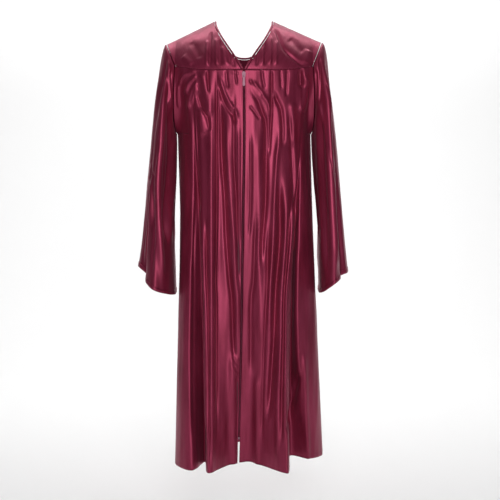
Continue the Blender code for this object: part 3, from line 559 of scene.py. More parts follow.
def back_neck(share, inset):
    """(across, z) on the scooped back neck, from the right shoulder (-1) to the left (1)."""
    turn = share * math.pi / 2
    half = NECK_HALF + inset
    return Vector((half * math.sin(turn), -(BACK_NECK_DROP + inset) * math.cos(turn)))


def front_yoke_rows(side, columns, steps):
    """Rows of the front yoke, from the shoulder seam to the yoke seam."""
    inset = BINDING_WIDTH + NECK_SEAM_GAP
    neck_top = Vector((NECK_HALF + inset, shoulder_z(side, NECK_HALF + inset)))
    shoulder = Vector((SHOULDER_ACROSS, -SHOULDER_DROP[side]))
    corner = Vector((YOKE_CORNER_ACROSS, yoke_seam_z(YOKE_CORNER_ACROSS)))
    foot_across = NECK_POINT[0] + inset * 1.05
    foot = Vector((foot_across, yoke_seam_z(foot_across)))
    rows = []
    for down in grid_steps(steps, SHOULDER_ROUNDNESS):
        neck = front_neck(down, inset)
        if down == 0.0:
            neck = neck_top
        if down == 1.0:
            neck = foot
        arm = shoulder.lerp(corner, down)
        row = []
        for out in grid_steps(columns):
            top = neck_top.lerp(shoulder, out)
            across = foot.x + (corner.x - foot.x) * out
            seam = Vector((across, yoke_seam_z(across)))
            flat = (top.lerp(seam, down) + neck.lerp(arm, out)
                    - neck_top.lerp(foot, down).lerp(shoulder.lerp(corner, down), out))
            point = on_yoke(side, flat.x, flat.y, front=True)
            if down == 1.0:
                point.z += YOKE_SEAM_GAP
            row.append(point)
        rows.append(row)
    return rows


def back_yoke_rows(shoulder_steps, scoop_steps, steps):
    """Rows of the back yoke, from its shoulder seams and neck to the back yoke seam."""
    inset = BINDING_WIDTH + NECK_SEAM_GAP
    top = []
    for out in grid_steps(shoulder_steps):
        across = SHOULDER_ACROSS + (NECK_HALF + inset - SHOULDER_ACROSS) * out
        top.append((RIGHT, across, shoulder_z(RIGHT, across)))
    for step in range(1, scoop_steps):
        place = back_neck(-1.0 + 2.0 * step / scoop_steps, inset)
        top.append((RIGHT if place.x < 0 else LEFT, abs(place.x), place.y))
    for out in grid_steps(shoulder_steps):
        across = NECK_HALF + inset + (SHOULDER_ACROSS - NECK_HALF - inset) * out
        top.append((LEFT, across, shoulder_z(LEFT, across)))
    rows = []
    last = len(top) - 1
    for down in grid_steps(steps, SHOULDER_ROUNDNESS):
        row = []
        for column, (side, across, z) in enumerate(top):
            seam_across = YOKE_CORNER_ACROSS * abs(2.0 * column / last - 1.0)
            here = across + (seam_across - across) * down
            height = z + (yoke_seam_z(seam_across) - z) * down
            point = on_yoke(side, here, height, front=False)
            if down == 1.0:
                point.z += YOKE_SEAM_GAP
            row.append(point)
        rows.append(row)
    return rows


# ---------------------------------------------------------------- body panels

def armhole(side, turn, front):
    """The armhole's edge below the yoke, from the yoke corner (0) to the underarm (1)."""
    angle = turn * math.pi / 2
    corner_z = yoke_seam_z(YOKE_CORNER_ACROSS)
    across = (YOKE_CORNER_ACROSS + (ARMHOLE_ACROSS - YOKE_CORNER_ACROSS) * math.sin(angle)
              + ARMHOLE_BULGE * math.sin(2.0 * angle))
    full = YOKE_FRONT_DEPTH if front else YOKE_BACK_DEPTH
    depth = yoke_depth(YOKE_CORNER_ACROSS, full) * math.cos(angle)
    depth += SIDE_SEAM_GAP / 2
    z = corner_z + (CHEST - corner_z) * math.sin(angle)
    return Vector((side * across, -depth if front else depth, z))


def side_seam(side, z, front):
    """A point of the side seam, on the front panel's side of it or the back panel's."""
    places = SIDE_SEAMS[side][:-1]
    place = smooth(GIRTH_LEVELS[1:], [Vector(at) for at in places], z)
    gap = SIDE_SEAM_GAP / 2
    return Vector((side * place.x, -place.y + (-gap if front else gap), z))


def panel_heights(top_z, hem_z, pitch):
    """Heights of a panel's rows: the armhole's own rows, then even rows to the hem."""
    _, armhole_rows, skirt_rows = pitch
    heights = [top_z + (CHEST - top_z) * math.sin(math.pi / 2 * step / armhole_rows)
               for step in range(armhole_rows)]
    heights += [CHEST + (hem_z - CHEST) * step / skirt_rows for step in range(skirt_rows + 1)]
    return heights


def fold_point(side, fold, z):
    """Where a front fold lies at height z."""
    _, yoke_across, *places, _ = fold
    knots = [Vector((yoke_across, yoke_depth(yoke_across, YOKE_FRONT_DEPTH)))]
    knots += [Vector(place) for place in places]
    place = smooth(GIRTH_LEVELS, knots, z)
    return Vector((side * place.x, -place.y, z))


def fold_line(side, fold):
    """A front fold from the yoke seam to the hem, one point to a row."""
    _, yoke_across, *_, lift = fold
    heights = panel_heights(yoke_seam_z(yoke_across), HEM + lift, FRONT_PITCH)
    return [fold_point(side, fold, z) for z in heights]


def side_line(side, front, pitch):
    """The panel's side edge: the armhole, then the side seam down to the hem."""
    lift = SIDE_SEAMS[side][-1]
    armhole_rows = pitch[1]
    line = [armhole(side, step / armhole_rows, front) for step in range(armhole_rows)]
    line += [side_seam(side, z, front)
             for z in panel_heights(YOKE, HEM + lift, pitch)[armhole_rows:]]
    return line


def front_panel_rows(side):
    """Rows of a front panel, each from the zip to the side."""
    lines = [fold_line(side, fold) for fold in FRONT_FOLDS[side]]
    lines.append(side_line(side, True, FRONT_PITCH))
    return [thread([line[row] for line in lines], FRONT_PITCH[0])
            for row in range(len(lines[0]))]


def back_point(turn, insets, z):
    """A point of the back girth, lying inside it by the fold's depth at this height."""
    depth = smooth(GIRTH_LEVELS, BACK_DEPTHS, z)
    side = LEFT if turn <= 0.5 else RIGHT
    upper = min(max((CHEST - z) / (CHEST - YOKE), 0.0), 1.0)
    if z > CHEST:
        half = YOKE_HALF_GIRTH * upper + ARMHOLE_ACROSS * (1.0 - upper)
    else:
        half = abs(side_seam(side, z, front=False).x)
    seam_turn = math.acos(min(YOKE_CORNER_ACROSS / YOKE_HALF_GIRTH, 1.0)) * upper
    angle = seam_turn + (math.pi - 2.0 * seam_turn) * turn
    inset = smooth(GIRTH_LEVELS, insets, z)
    return Vector(((half - inset) * math.cos(angle), (depth - inset) * math.sin(angle), z))


def back_panel_rows():
    """Rows of the back panel, each from the left side to the right."""
    lines = [side_line(LEFT, False, BACK_PITCH)]
    for _, turn, insets in BACK_FOLDS:
        side = LEFT if turn <= 0.5 else RIGHT
        lift = SIDE_SEAMS[side][-1] * abs(1.0 - 2.0 * turn)
        top_across = YOKE_CORNER_ACROSS * abs(1.0 - 2.0 * turn)
        heights = panel_heights(yoke_seam_z(top_across), HEM + lift, BACK_PITCH)
        lines.append([back_point(turn, insets, z) for z in heights])
    lines.append(side_line(RIGHT, False, BACK_PITCH))
    return [thread([line[row] for line in lines], BACK_PITCH[0])
            for row in range(len(lines[0]))]


# ---------------------------------------------------------------- sleeves

def armhole_loop(side, count):
    """The whole armhole in `count` even turns, from the shoulder to the front and round."""
    yoke_steps = 24
    panel_steps = 40
    front = [row[-1] for row in front_yoke_rows(side, 1, yoke_steps)]
    front += [armhole(side, step / panel_steps, True) for step in range(1, panel_steps)]
    column = -1 if side == LEFT else 0
    back = [row[column] for row in back_yoke_rows(1, 2, yoke_steps)]
    back += [armhole(side, step / panel_steps, False) for step in range(1, panel_steps)]
    underarm = Vector((side * ARMHOLE_ACROSS, 0.0, CHEST))
    halves = []
    for half in (front + [underarm], back + [underarm]):
        travel = np.cumsum([0.0] + [(b - a).length for a, b in zip(half, half[1:])])
        even = np.linspace(0.0, travel[-1], count // 2 + 1)
        axes = [np.interp(even, travel, [point[axis] for point in half]) for axis in range(3)]
        halves.append([Vector(place) for place in zip(*axes)])
    return halves[0] + halves[1][-2:0:-1]


def cuff_loop(side, count):
    """The cuff, with as many points as the armhole, starting at the outer line."""
    folds = [Vector((side * across, -forward, z))
             for _, across, forward, z in CUFF_FOLDS[side]]
    fine = thread(folds, count, closed=True)
    return [fine[len(folds) * step] for step in range(count)]


def sleeve_rows(side):
    """Rings of a sleeve, from the armhole to the cuff."""
    columns, steps = SLEEVE_PITCH
    start = armhole_loop(side, columns)
    end = cuff_loop(side, len(start))
    middle = Vector((0.0, 0.0, ARMHOLE_MIDDLE_Z))
    outer_line = abs(end[0].x)
    body_line = abs(end[len(end) // 2].x)
    rows = [[] for _ in range(steps + 1)]
    for first, last in zip(start, end):
        first = first + Vector((side * ARMHOLE_GAP, 0.0, 0.0))
        spoke = first - middle
        spoke.x = 0.0
        spoke.normalize()
        raised = max(spoke.z, 0.0)
        leave = Vector((side * (0.02 + 0.24 * abs(spoke.y) + 0.74 * raised), 0.45 * spoke.y,
                        -0.85 + 0.75 * raised))
        leave.normalize()
        drop = (first - last).length
        outness = (abs(last.x) - body_line) / (outer_line - body_line)
        flare = Vector((-side * CUFF_FLARE * outness, 0.0, 0.34 * drop))
        legs = (first, first + leave * (drop * (0.30 - 0.26 * raised)), last + flare, last)
        for row, share in enumerate(grid_steps(steps, SLEEVE_CROWDING)):
            rows[row].append(bezier(legs, share))
    return rows


# ---------------------------------------------------------------- creases

def to_grid(rows):
    return np.array([[tuple(point) for point in row] for row in rows])


def grid_normals(grid, closed, outward):
    """A unit normal at each point of the grid, on the side where `outward` (a sign) puts it."""
    if closed:
        along = np.roll(grid, -1, axis=1) - np.roll(grid, 1, axis=1)
    else:
        along = np.gradient(grid, axis=1)
    down = np.gradient(grid, axis=0)
    normals = np.cross(along, down) * outward
    return normals / np.maximum(np.linalg.norm(normals, axis=2, keepdims=True), 1e-12)


def ramp(share):
    share = np.clip(share, 0.0, 1.0)
    return share * share * (3.0 - 2.0 * share)


def crease_lift(creases, across, z, fade=0.16):
    """How far the creases lift the cloth at each (across, z)."""
    lift = np.zeros_like(across)
    for _, height, near, away, path in creases:
        line = thread([Vector(point) for point in path], 5)
        reach = 3.2 * max(near, away)
        xs = [point.x for point in line]
        zs = [point.y for point in line]
        inside = ((across > min(xs) - reach) & (across < max(xs) + reach)
                  & (z > min(zs) - reach) & (z < max(zs) + reach))
        px, pz = across[inside], z[inside]
        if not px.size:
            continue
        nearest = np.full(px.shape, 1e9)
        signed = np.zeros_like(px)
        place = np.zeros_like(px)
        travel = 0.0
        whole = sum((b - a).length for a, b in zip(line, line[1:]))
        for a, b in zip(line, line[1:]):
            run = b - a
            length = run.length
            share = np.clip(((px - a.x) * run.x + (pz - a.y) * run.y) / length ** 2, 0.0, 1.0)
            dx = px - a.x - run.x * share
            dz = pz - a.y - run.y * share
            distance = np.hypot(dx, dz)
            closer = distance < nearest
            nearest[closer] = distance[closer]
            turn = np.sign(run.x * dz - run.y * dx)
            signed[closer] = (turn * distance)[closer]
            place[closer] = ((travel + share * length) / whole)[closer]
            travel += length
        width = np.where(signed > 0.0, away, near)
        fading = ramp(place / fade) * ramp((1.0 - place) / fade)
        lift[inside] += height * np.exp(-(signed / width) ** 2) * fading
    return lift


def flutter(grid, size, across_scale, down_scale, seed):
    """Soft unevenness of hanging cloth, in long upright streaks."""
    shape = grid.shape[:2]
    values = np.empty(shape)
    for row in range(shape[0]):
        for column in range(shape[1]):
            x, y, z = grid[row, column]
            values[row, column] = noise.noise(
                (x * across_scale + seed, y * across_scale, z * down_scale))
    return values * size


def edge_hold(grid, distance, sides=(True, True, True, True)):
    """1 inside a piece, falling to 0 at its held edges: first row, last row and columns."""
    rows, columns = grid.shape[:2]
    hold = np.ones((rows, columns))
    down = np.linalg.norm(np.diff(grid, axis=0), axis=2)
    across = np.linalg.norm(np.diff(grid, axis=1), axis=2)
    travel_down = np.vstack([np.zeros(columns), np.cumsum(down, axis=0)])
    travel_across = np.hstack([np.zeros((rows, 1)), np.cumsum(across, axis=1)])
    first_row, last_row, first_column, last_column = sides
    if first_row:
        hold = np.minimum(hold, ramp(travel_down / distance))
    if last_row:
        hold = np.minimum(hold, ramp((travel_down[-1] - travel_down) / distance))
    if first_column:
        hold = np.minimum(hold, ramp(travel_across / distance))
    if last_column:
        hold = np.minimum(hold, ramp((travel_across[:, -1:] - travel_across) / distance))
    return hold


def moved(grid, normals, lift):
    return grid + normals * lift[:, :, None]


# ---------------------------------------------------------------- making meshes

COLLECTION = bpy.data.collections.new("gown_looks")
bpy.context.scene.collection.children.link(COLLECTION)


def add_mesh(name, points, faces, material):
    mesh = bpy.data.meshes.new(name)
    mesh.from_pydata([tuple(point) for point in points], [], faces)
    mesh.update()
    mesh.shade_smooth()
    mesh.materials.append(material)
    piece = bpy.data.objects.new(name, mesh)
    COLLECTION.objects.link(piece)
    return piece


def lay_cloth(name, grid, material, wall=WALL, closed=False, flip=False):
    """A sheet of cloth from its grid of points, with UVs that measure the cloth in metres."""
    rows, columns = grid.shape[:2]
    faces = []
    for row in range(rows - 1):
        for column in range(columns if closed else columns - 1):
            after = (column + 1) % columns
            corners = [row * columns + column, (row + 1) * columns + column,
                       (row + 1) * columns + after, row * columns + after]
            faces.append(corners[::-1] if flip else corners)
    piece = add_mesh(name, grid.reshape(-1, 3), faces, material)
    measure_cloth(piece, grid, closed, flip)
    solidify = piece.modifiers.new("wall", "SOLIDIFY")
    solidify.thickness = wall
    solidify.offset = 0.0
    return piece


def measure_cloth(piece, grid, closed, flip):
    """UVs in metres: along each row, and down from the first row."""
    rows, columns = grid.shape[:2]
    wide = np.concatenate([grid, grid[:, :1]], axis=1) if closed else grid
    middle = wide[rows // 2]
    u = np.concatenate([[0.0], np.cumsum(np.linalg.norm(np.diff(middle, axis=0), axis=1))])
    down = np.linalg.norm(np.diff(wide, axis=0), axis=2)
    v = np.vstack([np.zeros(wide.shape[1]), np.cumsum(down, axis=0)])
    layer = piece.data.uv_layers.new(name="cloth")
    places = []
    for row in range(rows - 1):
        for column in range(wide.shape[1] - 1):
            corners = [(u[column], v[row, column]), (u[column], v[row + 1, column]),
                       (u[column + 1], v[row + 1, column + 1]),
                       (u[column + 1], v[row, column + 1])]
            places.extend(corners[::-1] if flip else corners)
    layer.data.foreach_set("uv", np.array(places, dtype=np.float32).reshape(-1))


def tube_faces(base, rings, sides):
    """Faces of a capped tube whose rings of points follow each other from number `base`."""
    faces = []
    for ring in range(rings - 1):
        for corner in range(sides):
            after = (corner + 1) % sides
            a = base + ring * sides
            faces.append((a + corner, a + after, a + sides + after, a + sides + corner))
    faces.append(tuple(base + corner for corner in reversed(range(sides))))
    end = base + (rings - 1) * sides
    faces.append(tuple(end + corner for corner in range(sides)))
    return faces


def stitch_row(name, line, normals, material, lift=0.0006, ends=(0.0, 0.0)):
    """A row of thread stitches along a line on the cloth."""
    line = np.asarray(line)
    normals = np.asarray(normals)
    travel = np.concatenate([[0.0], np.cumsum(np.linalg.norm(np.diff(line, axis=0), axis=1))])
    pitch = STITCH["length"] + STITCH["gap"]
    start = ends[0] + pitch / 2
    count = int((travel[-1] - ends[1] - start) / pitch)
    sides = STITCH["sides"]
    points, faces = [], []
    for number in range(count):
        middle = start + number * pitch
        reach = (-0.5, -0.3, 0.3, 0.5)
        places = [middle + share * STITCH["length"] for share in reach]
        centres = [np.array([np.interp(place, travel, line[:, axis]) for axis in range(3)])
                   for place in places]
        out = np.array([np.interp(middle, travel, normals[:, axis]) for axis in range(3)])
        out /= max(np.linalg.norm(out), 1e-9)
        run = centres[-1] - centres[0]
        run /= max(np.linalg.norm(run), 1e-9)
        cross = np.cross(run, out)
        base = len(points)
        for ring, centre in enumerate(centres):
            ends_in = ring in (0, 3)
            radius = STITCH["radius"] * (0.35 if ends_in else 1.0)
            height = lift * (0.1 if ends_in else 1.0)
            for corner in range(sides):
                angle = 2 * math.pi * corner / sides
                points.append(centre + out * (height + radius * math.sin(angle))
                              + cross * radius * math.cos(angle))
        faces += tube_faces(base, len(centres), sides)
    return add_mesh(name, points, faces, material)


def turn_up(name, grid, normals, material, closed, flip):
    """The hem's inner turn: a strip that lies inside the last stretch of the cloth."""
    travel = np.linalg.norm(np.diff(grid, axis=0), axis=2)[::-1].mean(axis=1).cumsum()
    count = int(np.searchsorted(travel, HEM_TURN)) + 2
    strip = grid[-count:] - normals[-count:] * (WALL + TURN_INSIDE)
    return lay_cloth(name, strip, material, WALL * 0.8, closed, flip)


def above_hem(grid, normals, distance, closed=False):
    """The line on the cloth that lies this far above its last row."""
    steps = np.linalg.norm(np.diff(grid, axis=0), axis=2)[::-1]
    travel = np.vstack([np.zeros(grid.shape[1]), np.cumsum(steps, axis=0)])
    line, out = [], []
    for column in range(grid.shape[1]):
        place = np.interp(distance, travel[:, column], np.arange(grid.shape[0]))
        low = int(place)
        share = place - low
        upper, lower = -1 - (low + 1), -1 - low
        line.append(grid[lower, column] * (1 - share) + grid[upper, column] * share)
        out.append(normals[lower, column])
    if closed:
        line.append(line[0])
        out.append(out[0])
    return np.array(line), np.array(out)


def beside_edge(grid, normals, distance):
    """The line on the cloth that lies this far in from its first column."""
    steps = np.linalg.norm(np.diff(grid, axis=1), axis=2)
    travel = np.hstack([np.zeros((grid.shape[0], 1)), np.cumsum(steps, axis=1)])
    line, out = [], []
    for row in range(grid.shape[0]):
        place = np.interp(distance, travel[row], np.arange(grid.shape[1]))
        low = int(place)
        share = place - low
        line.append(grid[row, low] * (1 - share) + grid[row, low + 1] * share)
        out.append(normals[row, low])
    return np.array(line), np.array(out)


# ---------------------------------------------------------------- materials

def new_material(name):
    material = bpy.data.materials.new(name)
    material.use_nodes = True
    nodes = material.node_tree.nodes
    return material, nodes, material.node_tree.links, nodes["Principled BSDF"]


def satin_material(name, deep, bright, metallic, roughness, weave=0.12):
    """Polyester satin: upright slubs and a fine weave, with a slow change of depth."""
    material, nodes, links, shader = new_material(name)
    where = nodes.new("ShaderNodeUVMap")
    where.uv_map = "cloth"

    streak_scale = nodes.new("ShaderNodeMapping")
    streak_scale.inputs["Scale"].default_value = (420.0, 9.0, 1.0)
    streaks = nodes.new("ShaderNodeTexNoise")
    streaks.inputs["Scale"].default_value = 1.0
    streaks.inputs["Detail"].default_value = 3.0
    links.new(where.outputs["UV"], streak_scale.inputs["Vector"])
    links.new(streak_scale.outputs["Vector"], streaks.inputs["Vector"])

    cloud_scale = nodes.new("ShaderNodeMapping")
    cloud_scale.inputs["Scale"].default_value = (26.0, 7.0, 1.0)
    clouds = nodes.new("ShaderNodeTexNoise")
    clouds.inputs["Scale"].default_value = 1.0
    clouds.inputs["Detail"].default_value = 4.0
    links.new(where.outputs["UV"], cloud_scale.inputs["Vector"])
    links.new(cloud_scale.outputs["Vector"], clouds.inputs["Vector"])

    ribs = nodes.new("ShaderNodeTexWave")
    ribs.wave_type = "BANDS"
    ribs.bands_direction = "DIAGONAL"
    ribs.inputs["Scale"].default_value = 260.0
    ribs.inputs["Distortion"].default_value = 0.6
    links.new(where.outputs["UV"], ribs.inputs["Vector"])

    mixed = nodes.new("ShaderNodeMath")
    mixed.operation = "MULTIPLY_ADD"
    mixed.inputs[1].default_value = 0.55
    links.new(streaks.outputs["Fac"], mixed.inputs[0])
    links.new(clouds.outputs["Fac"], mixed.inputs[2])
    tone = nodes.new("ShaderNodeMapRange")
    tone.inputs["From Min"].default_value = 0.50
    tone.inputs["From Max"].default_value = 1.05
    links.new(mixed.outputs["Value"], tone.inputs["Value"])
    colour = nodes.new("ShaderNodeMix")
    colour.data_type = "RGBA"
    colour.inputs["A"].default_value = (*deep, 1.0)
    colour.inputs["B"].default_value = (*bright, 1.0)
    links.new(tone.outputs["Result"], colour.inputs["Factor"])
    links.new(colour.outputs["Result"], shader.inputs["Base Color"])

    rough = nodes.new("ShaderNodeMapRange")
    rough.inputs["To Min"].default_value = roughness - 0.04
    rough.inputs["To Max"].default_value = roughness + 0.05
    links.new(streaks.outputs["Fac"], rough.inputs["Value"])
    links.new(rough.outputs["Result"], shader.inputs["Roughness"])

    slub = nodes.new("ShaderNodeBump")
    slub.inputs["Strength"].default_value = 0.20
    slub.inputs["Distance"].default_value = 0.0006
    links.new(streaks.outputs["Fac"], slub.inputs["Height"])
    fine = nodes.new("ShaderNodeBump")
    fine.inputs["Strength"].default_value = weave
    fine.inputs["Distance"].default_value = 0.0002
    links.new(ribs.outputs["Fac"], fine.inputs["Height"])
    links.new(slub.outputs["Normal"], fine.inputs["Normal"])
    links.new(fine.outputs["Normal"], shader.inputs["Normal"])

    shader.inputs["Metallic"].default_value = metallic
    shader.inputs["Sheen Weight"].default_value = 0.10
    shader.inputs["Sheen Roughness"].default_value = 0.45
    shader.inputs["Sheen Tint"].default_value = (0.80, 0.30, 0.42, 1.0)
    return material


def plain_material(name, colour, other, roughness, metallic, grain, bump):
    """A material of two close colours mixed by a noise, with its own grain."""
    material, nodes, links, shader = new_material(name)
    where = nodes.new("ShaderNodeTexCoord")
    grains = nodes.new("ShaderNodeTexNoise")
    grains.inputs["Scale"].default_value = grain
    grains.inputs["Detail"].default_value = 5.0
    links.new(where.outputs["Object"], grains.inputs["Vector"])
    mix = nodes.new("ShaderNodeMix")
    mix.data_type = "RGBA"
    mix.inputs["A"].default_value = (*colour, 1.0)
    mix.inputs["B"].default_value = (*other, 1.0)
    links.new(grains.outputs["Fac"], mix.inputs["Factor"])
    links.new(mix.outputs["Result"], shader.inputs["Base Color"])
    rough = nodes.new("ShaderNodeMapRange")
    rough.inputs["To Min"].default_value = roughness - 0.06
    rough.inputs["To Max"].default_value = roughness + 0.08
    links.new(grains.outputs["Fac"], rough.inputs["Value"])
    links.new(rough.outputs["Result"], shader.inputs["Roughness"])
    relief = nodes.new("ShaderNodeBump")
    relief.inputs["Strength"].default_value = bump
    relief.inputs["Distance"].default_value = 0.0002
    links.new(grains.outputs["Fac"], relief.inputs["Height"])
    links.new(relief.outputs["Normal"], shader.inputs["Normal"])
    shader.inputs["Metallic"].default_value = metallic
    return material


SATIN = satin_material("satin", (0.20, 0.012, 0.040), (0.34, 0.034, 0.088), 0.62, 0.45)
BINDING = satin_material("binding", (0.18, 0.011, 0.037), (0.28, 0.026, 0.070), 0.55, 0.48)
THREAD = plain_material("thread", (0.20, 0.015, 0.05), (0.30, 0.03, 0.08), 0.50, 0.0, 900.0, 0.3)
TAPE = plain_material("zip_tape", (0.085, 0.008, 0.022), (0.13, 0.014, 0.036), 0.80, 0.0, 1500.0, 0.5)
COIL = plain_material("zip_coil", (0.14, 0.015, 0.04), (0.22, 0.03, 0.07), 0.36, 0.0, 700.0, 0.2)
METAL = plain_material("zip_metal", (0.17, 0.07, 0.10), (0.26, 0.13, 0.17), 0.48, 0.60, 420.0, 0.25)


# ---------------------------------------------------------------- the cloth

def finish_piece(piece, slot, *nodes):
    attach(piece, "gown")
    if nodes:
        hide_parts(*nodes)


def make_front_panel(side):
    wearer = SIDE_NAMES[side]
    outward = side == RIGHT
    base = to_grid(front_panel_rows(side))
    across, z = base[:, :, 0] * side, base[:, :, 2]
    hold = edge_hold(base, 0.006, (False, False, True, True))
    lift = crease_lift(FRONT_CREASES[side], across, z) * hold
    lift += flutter(base, 0.0016, 62.0, 7.0, 3.0 + side) * hold
    seam = edge_hold(base, 0.010, (True, False, False, False))
    lift *= 0.25 + 0.75 * seam
    grid = base.copy()
    turned = grid_normals(base, False, -side)
    facing = np.clip(-turned[:, :, 1], 0.0, 1.0) ** 2
    grid[:, :, 1] -= lift * facing
    grid += turned * (lift * (1.0 - facing))[:, :, None]
    normals = grid_normals(grid, False, -side)
    name = "front_panel_" + wearer
    panel = lay_cloth("cloth_" + name, grid, SATIN, flip=outward)
    turn = turn_up("hem_turn_" + wearer, grid, normals, SATIN, False, outward)
    hem = stitch_row("hem_stitches_" + wearer, *above_hem(grid, normals, HEM_TURN), THREAD)
    line, out = beside_edge(grid, normals, TOPSTITCH_FROM_ZIP)
    top = stitch_row("zip_stitches_" + wearer, line, out, THREAD, ends=(0.004, 0.012))
    finish_piece(panel, "satin", name)
    for piece in (turn, hem, top):
        finish_piece(piece, "satin")


def make_back_panel():
    base = to_grid(back_panel_rows())
    hold = edge_hold(base, 0.006, (False, False, True, True))
    lift = crease_lift(BACK_CREASES, base[:, :, 0], base[:, :, 2]) * hold
    lift += flutter(base, 0.0018, 55.0, 6.0, 9.0) * hold
    lift *= 0.25 + 0.75 * edge_hold(base, 0.010, (True, False, False, False))
    normals = grid_normals(base, False, -1.0)
    grid = moved(base, normals, lift)
    normals = grid_normals(grid, False, -1.0)
    panel = lay_cloth("cloth_back_panel", grid, SATIN)
    turn = turn_up("hem_turn_back", grid, normals, SATIN, False, False)
    hem = stitch_row("hem_stitches_back", *above_hem(grid, normals, HEM_TURN), THREAD)
    finish_piece(panel, "satin", "back_panel")
    for piece in (turn, hem):
        finish_piece(piece, "satin")


def make_sleeve(side):
    wearer = SIDE_NAMES[side]
    base = to_grid(sleeve_rows(side))
    normals = grid_normals(base, True, -side)
    across, z = base[:, :, 0] * side, base[:, :, 2]
    front = ramp((-normals[:, :, 1] + 0.15) / 0.5)
    back = ramp((normals[:, :, 1] + 0.15) / 0.5)
    behind = [(name, height, near, away, [(x - 0.002, low + 0.02) for x, low in path])
              for name, height, near, away, path in SLEEVE_CREASES[side]]
    lift = crease_lift(SLEEVE_CREASES[side], across, z) * front
    lift += crease_lift(behind, across, z) * back
    lift += flutter(base, 0.0020, 45.0, 7.0, 20.0 + side)
    lift *= edge_hold(base, 0.012, (True, False, False, False))
    away_from_body = ramp((across - BODY_SIDE) / 0.012 + 0.5 + np.abs(base[:, :, 1]) / 0.08)
    lift = np.where(lift > 0.0, lift * away_from_body, lift)
    grid = moved(base, normals, lift)
    normals = grid_normals(grid, True, -side)
    name = "sleeve_" + wearer
    flip = side == LEFT
    sleeve = lay_cloth("cloth_" + name, grid, SATIN, closed=True, flip=flip)
    turn = turn_up("cuff_turn_" + wearer, grid, normals, SATIN, True, flip)
    hem = stitch_row("cuff_stitches_" + wearer, *above_hem(grid, normals, HEM_TURN, True),
                     THREAD)
    finish_piece(sleeve, "satin", name)
    for piece in (turn, hem):
        finish_piece(piece, "satin")


def make_front_yoke(side):
    wearer = SIDE_NAMES[side]
    base = to_grid(front_yoke_rows(side, *YOKE_PITCH))
    normals = grid_normals(base, False, -side)
    across, z = base[:, :, 0] * side, base[:, :, 2]
    lift = crease_lift(YOKE_CREASES[side], across, z)
    lift += flutter(base, 0.0012, 40.0, 14.0, 30.0 + side)
    lift *= edge_hold(base, 0.010)
    grid = moved(base, normals, lift)
    normals = grid_normals(grid, False, -side)
    name = "front_yoke_" + wearer
    yoke = lay_cloth("cloth_" + name, grid, SATIN, flip=side == RIGHT)
    seam = stitch_row("yoke_stitches_" + wearer, *above_hem(grid, normals, TOPSTITCH_ABOVE_SEAM), THREAD)
    finish_piece(yoke, "satin", name)
    finish_piece(seam, "satin")
    binding = make_binding("neck_binding_" + wearer, front_edge(side), outward=-side)


def make_back_yoke():
    base = to_grid(back_yoke_rows(26, 44, YOKE_PITCH[1]))
    normals = grid_normals(base, False, 1.0)
    lift = flutter(base, 0.0014, 34.0, 16.0, 40.0) * edge_hold(base, 0.010)
    grid = moved(base, normals, lift)
    normals = grid_normals(grid, False, 1.0)
    yoke = lay_cloth("cloth_back_yoke", grid, SATIN, flip=True)
    seam = stitch_row("yoke_stitches_back", *above_hem(grid, normals, TOPSTITCH_ABOVE_SEAM), THREAD)
    finish_piece(yoke, "satin", "back_yoke")
    finish_piece(seam, "satin")
    binding = make_binding("neck_binding_back", back_edge(), outward=1.0)


# ---------------------------------------------------------------- neck binding

def front_edge(side):
    """Pairs of points along one side of the V: the neck's edge and the binding's seam."""
    pairs = []
    for share in grid_steps(70, SHOULDER_ROUNDNESS):
        pair = []
        for inset in (0.0, BINDING_WIDTH):
            place = front_neck(share, inset)
            if share == 0.0:
                place = Vector((NECK_HALF + inset, shoulder_z(side, NECK_HALF + inset)))
            height = max(place.y, YOKE_SEAM_Z + 2 * YOKE_SEAM_GAP)
            pair.append(on_yoke(side, max(place.x, NECK_POINT[0]), height, front=True))
        pairs.append(pair)
    return pairs


def back_edge():
    """Pairs of points round the back neck."""
    pairs = []
    steps = 90
    for step in range(steps + 1):
        share = -1.0 + 2.0 * step / steps
        pair = []
        for inset in (0.0, BINDING_WIDTH):
            place = back_neck(share, inset)
            side = RIGHT if place.x < 0 else LEFT
            height = place.y
            if step in (0, steps):
                height = shoulder_z(side, NECK_HALF + inset)
            pair.append(on_yoke(side, abs(place.x), height, front=False))
        pairs.append(pair)
    return pairs


def make_binding(name, pairs, outward):
    """A folded strip, rolled over the neck's edge, as a closed tube of flattened section."""
    grid = to_grid(pairs)
    across = grid[:, 1] - grid[:, 0]
    along = np.gradient(grid[:, 0], axis=0)
    out = np.cross(across, along) * outward
    out /= np.maximum(np.linalg.norm(out, axis=1, keepdims=True), 1e-12)
    if out[:, 1].mean() * (1.0 if "back" in name else -1.0) < 0:
        out = -out
    centre = grid.mean(axis=1)
    half = across / 2
    sides = 14
    points = []
    for middle, reach, lift in zip(centre, half, out):
        for corner in range(sides):
            angle = 2 * math.pi * corner / sides
            wide = math.copysign(abs(math.cos(angle)) ** 0.7, math.cos(angle))
            tall = math.copysign(abs(math.sin(angle)) ** 0.8, math.sin(angle))
            points.append(middle + reach * wide * 0.98 + lift * (BINDING_HALF_THICKNESS * tall + 0.0002))
    piece = add_mesh("cloth_" + name, points, tube_faces(0, len(centre), sides), BINDING)
    layer = piece.data.uv_layers.new(name="cloth")
    for loop in piece.data.loops:
        ring, corner = divmod(loop.vertex_index, sides)
        layer.data[loop.index].uv = (corner * 0.0008, ring * 0.0025)
    finish_piece(piece, "binding", name)
    return piece


# ---------------------------------------------------------------- zip

def zip_line(z):
    edges = [fold_point(side, FRONT_FOLDS[side][0], z) for side in (RIGHT, LEFT)]
    return (edges[0] + edges[1]) / 2


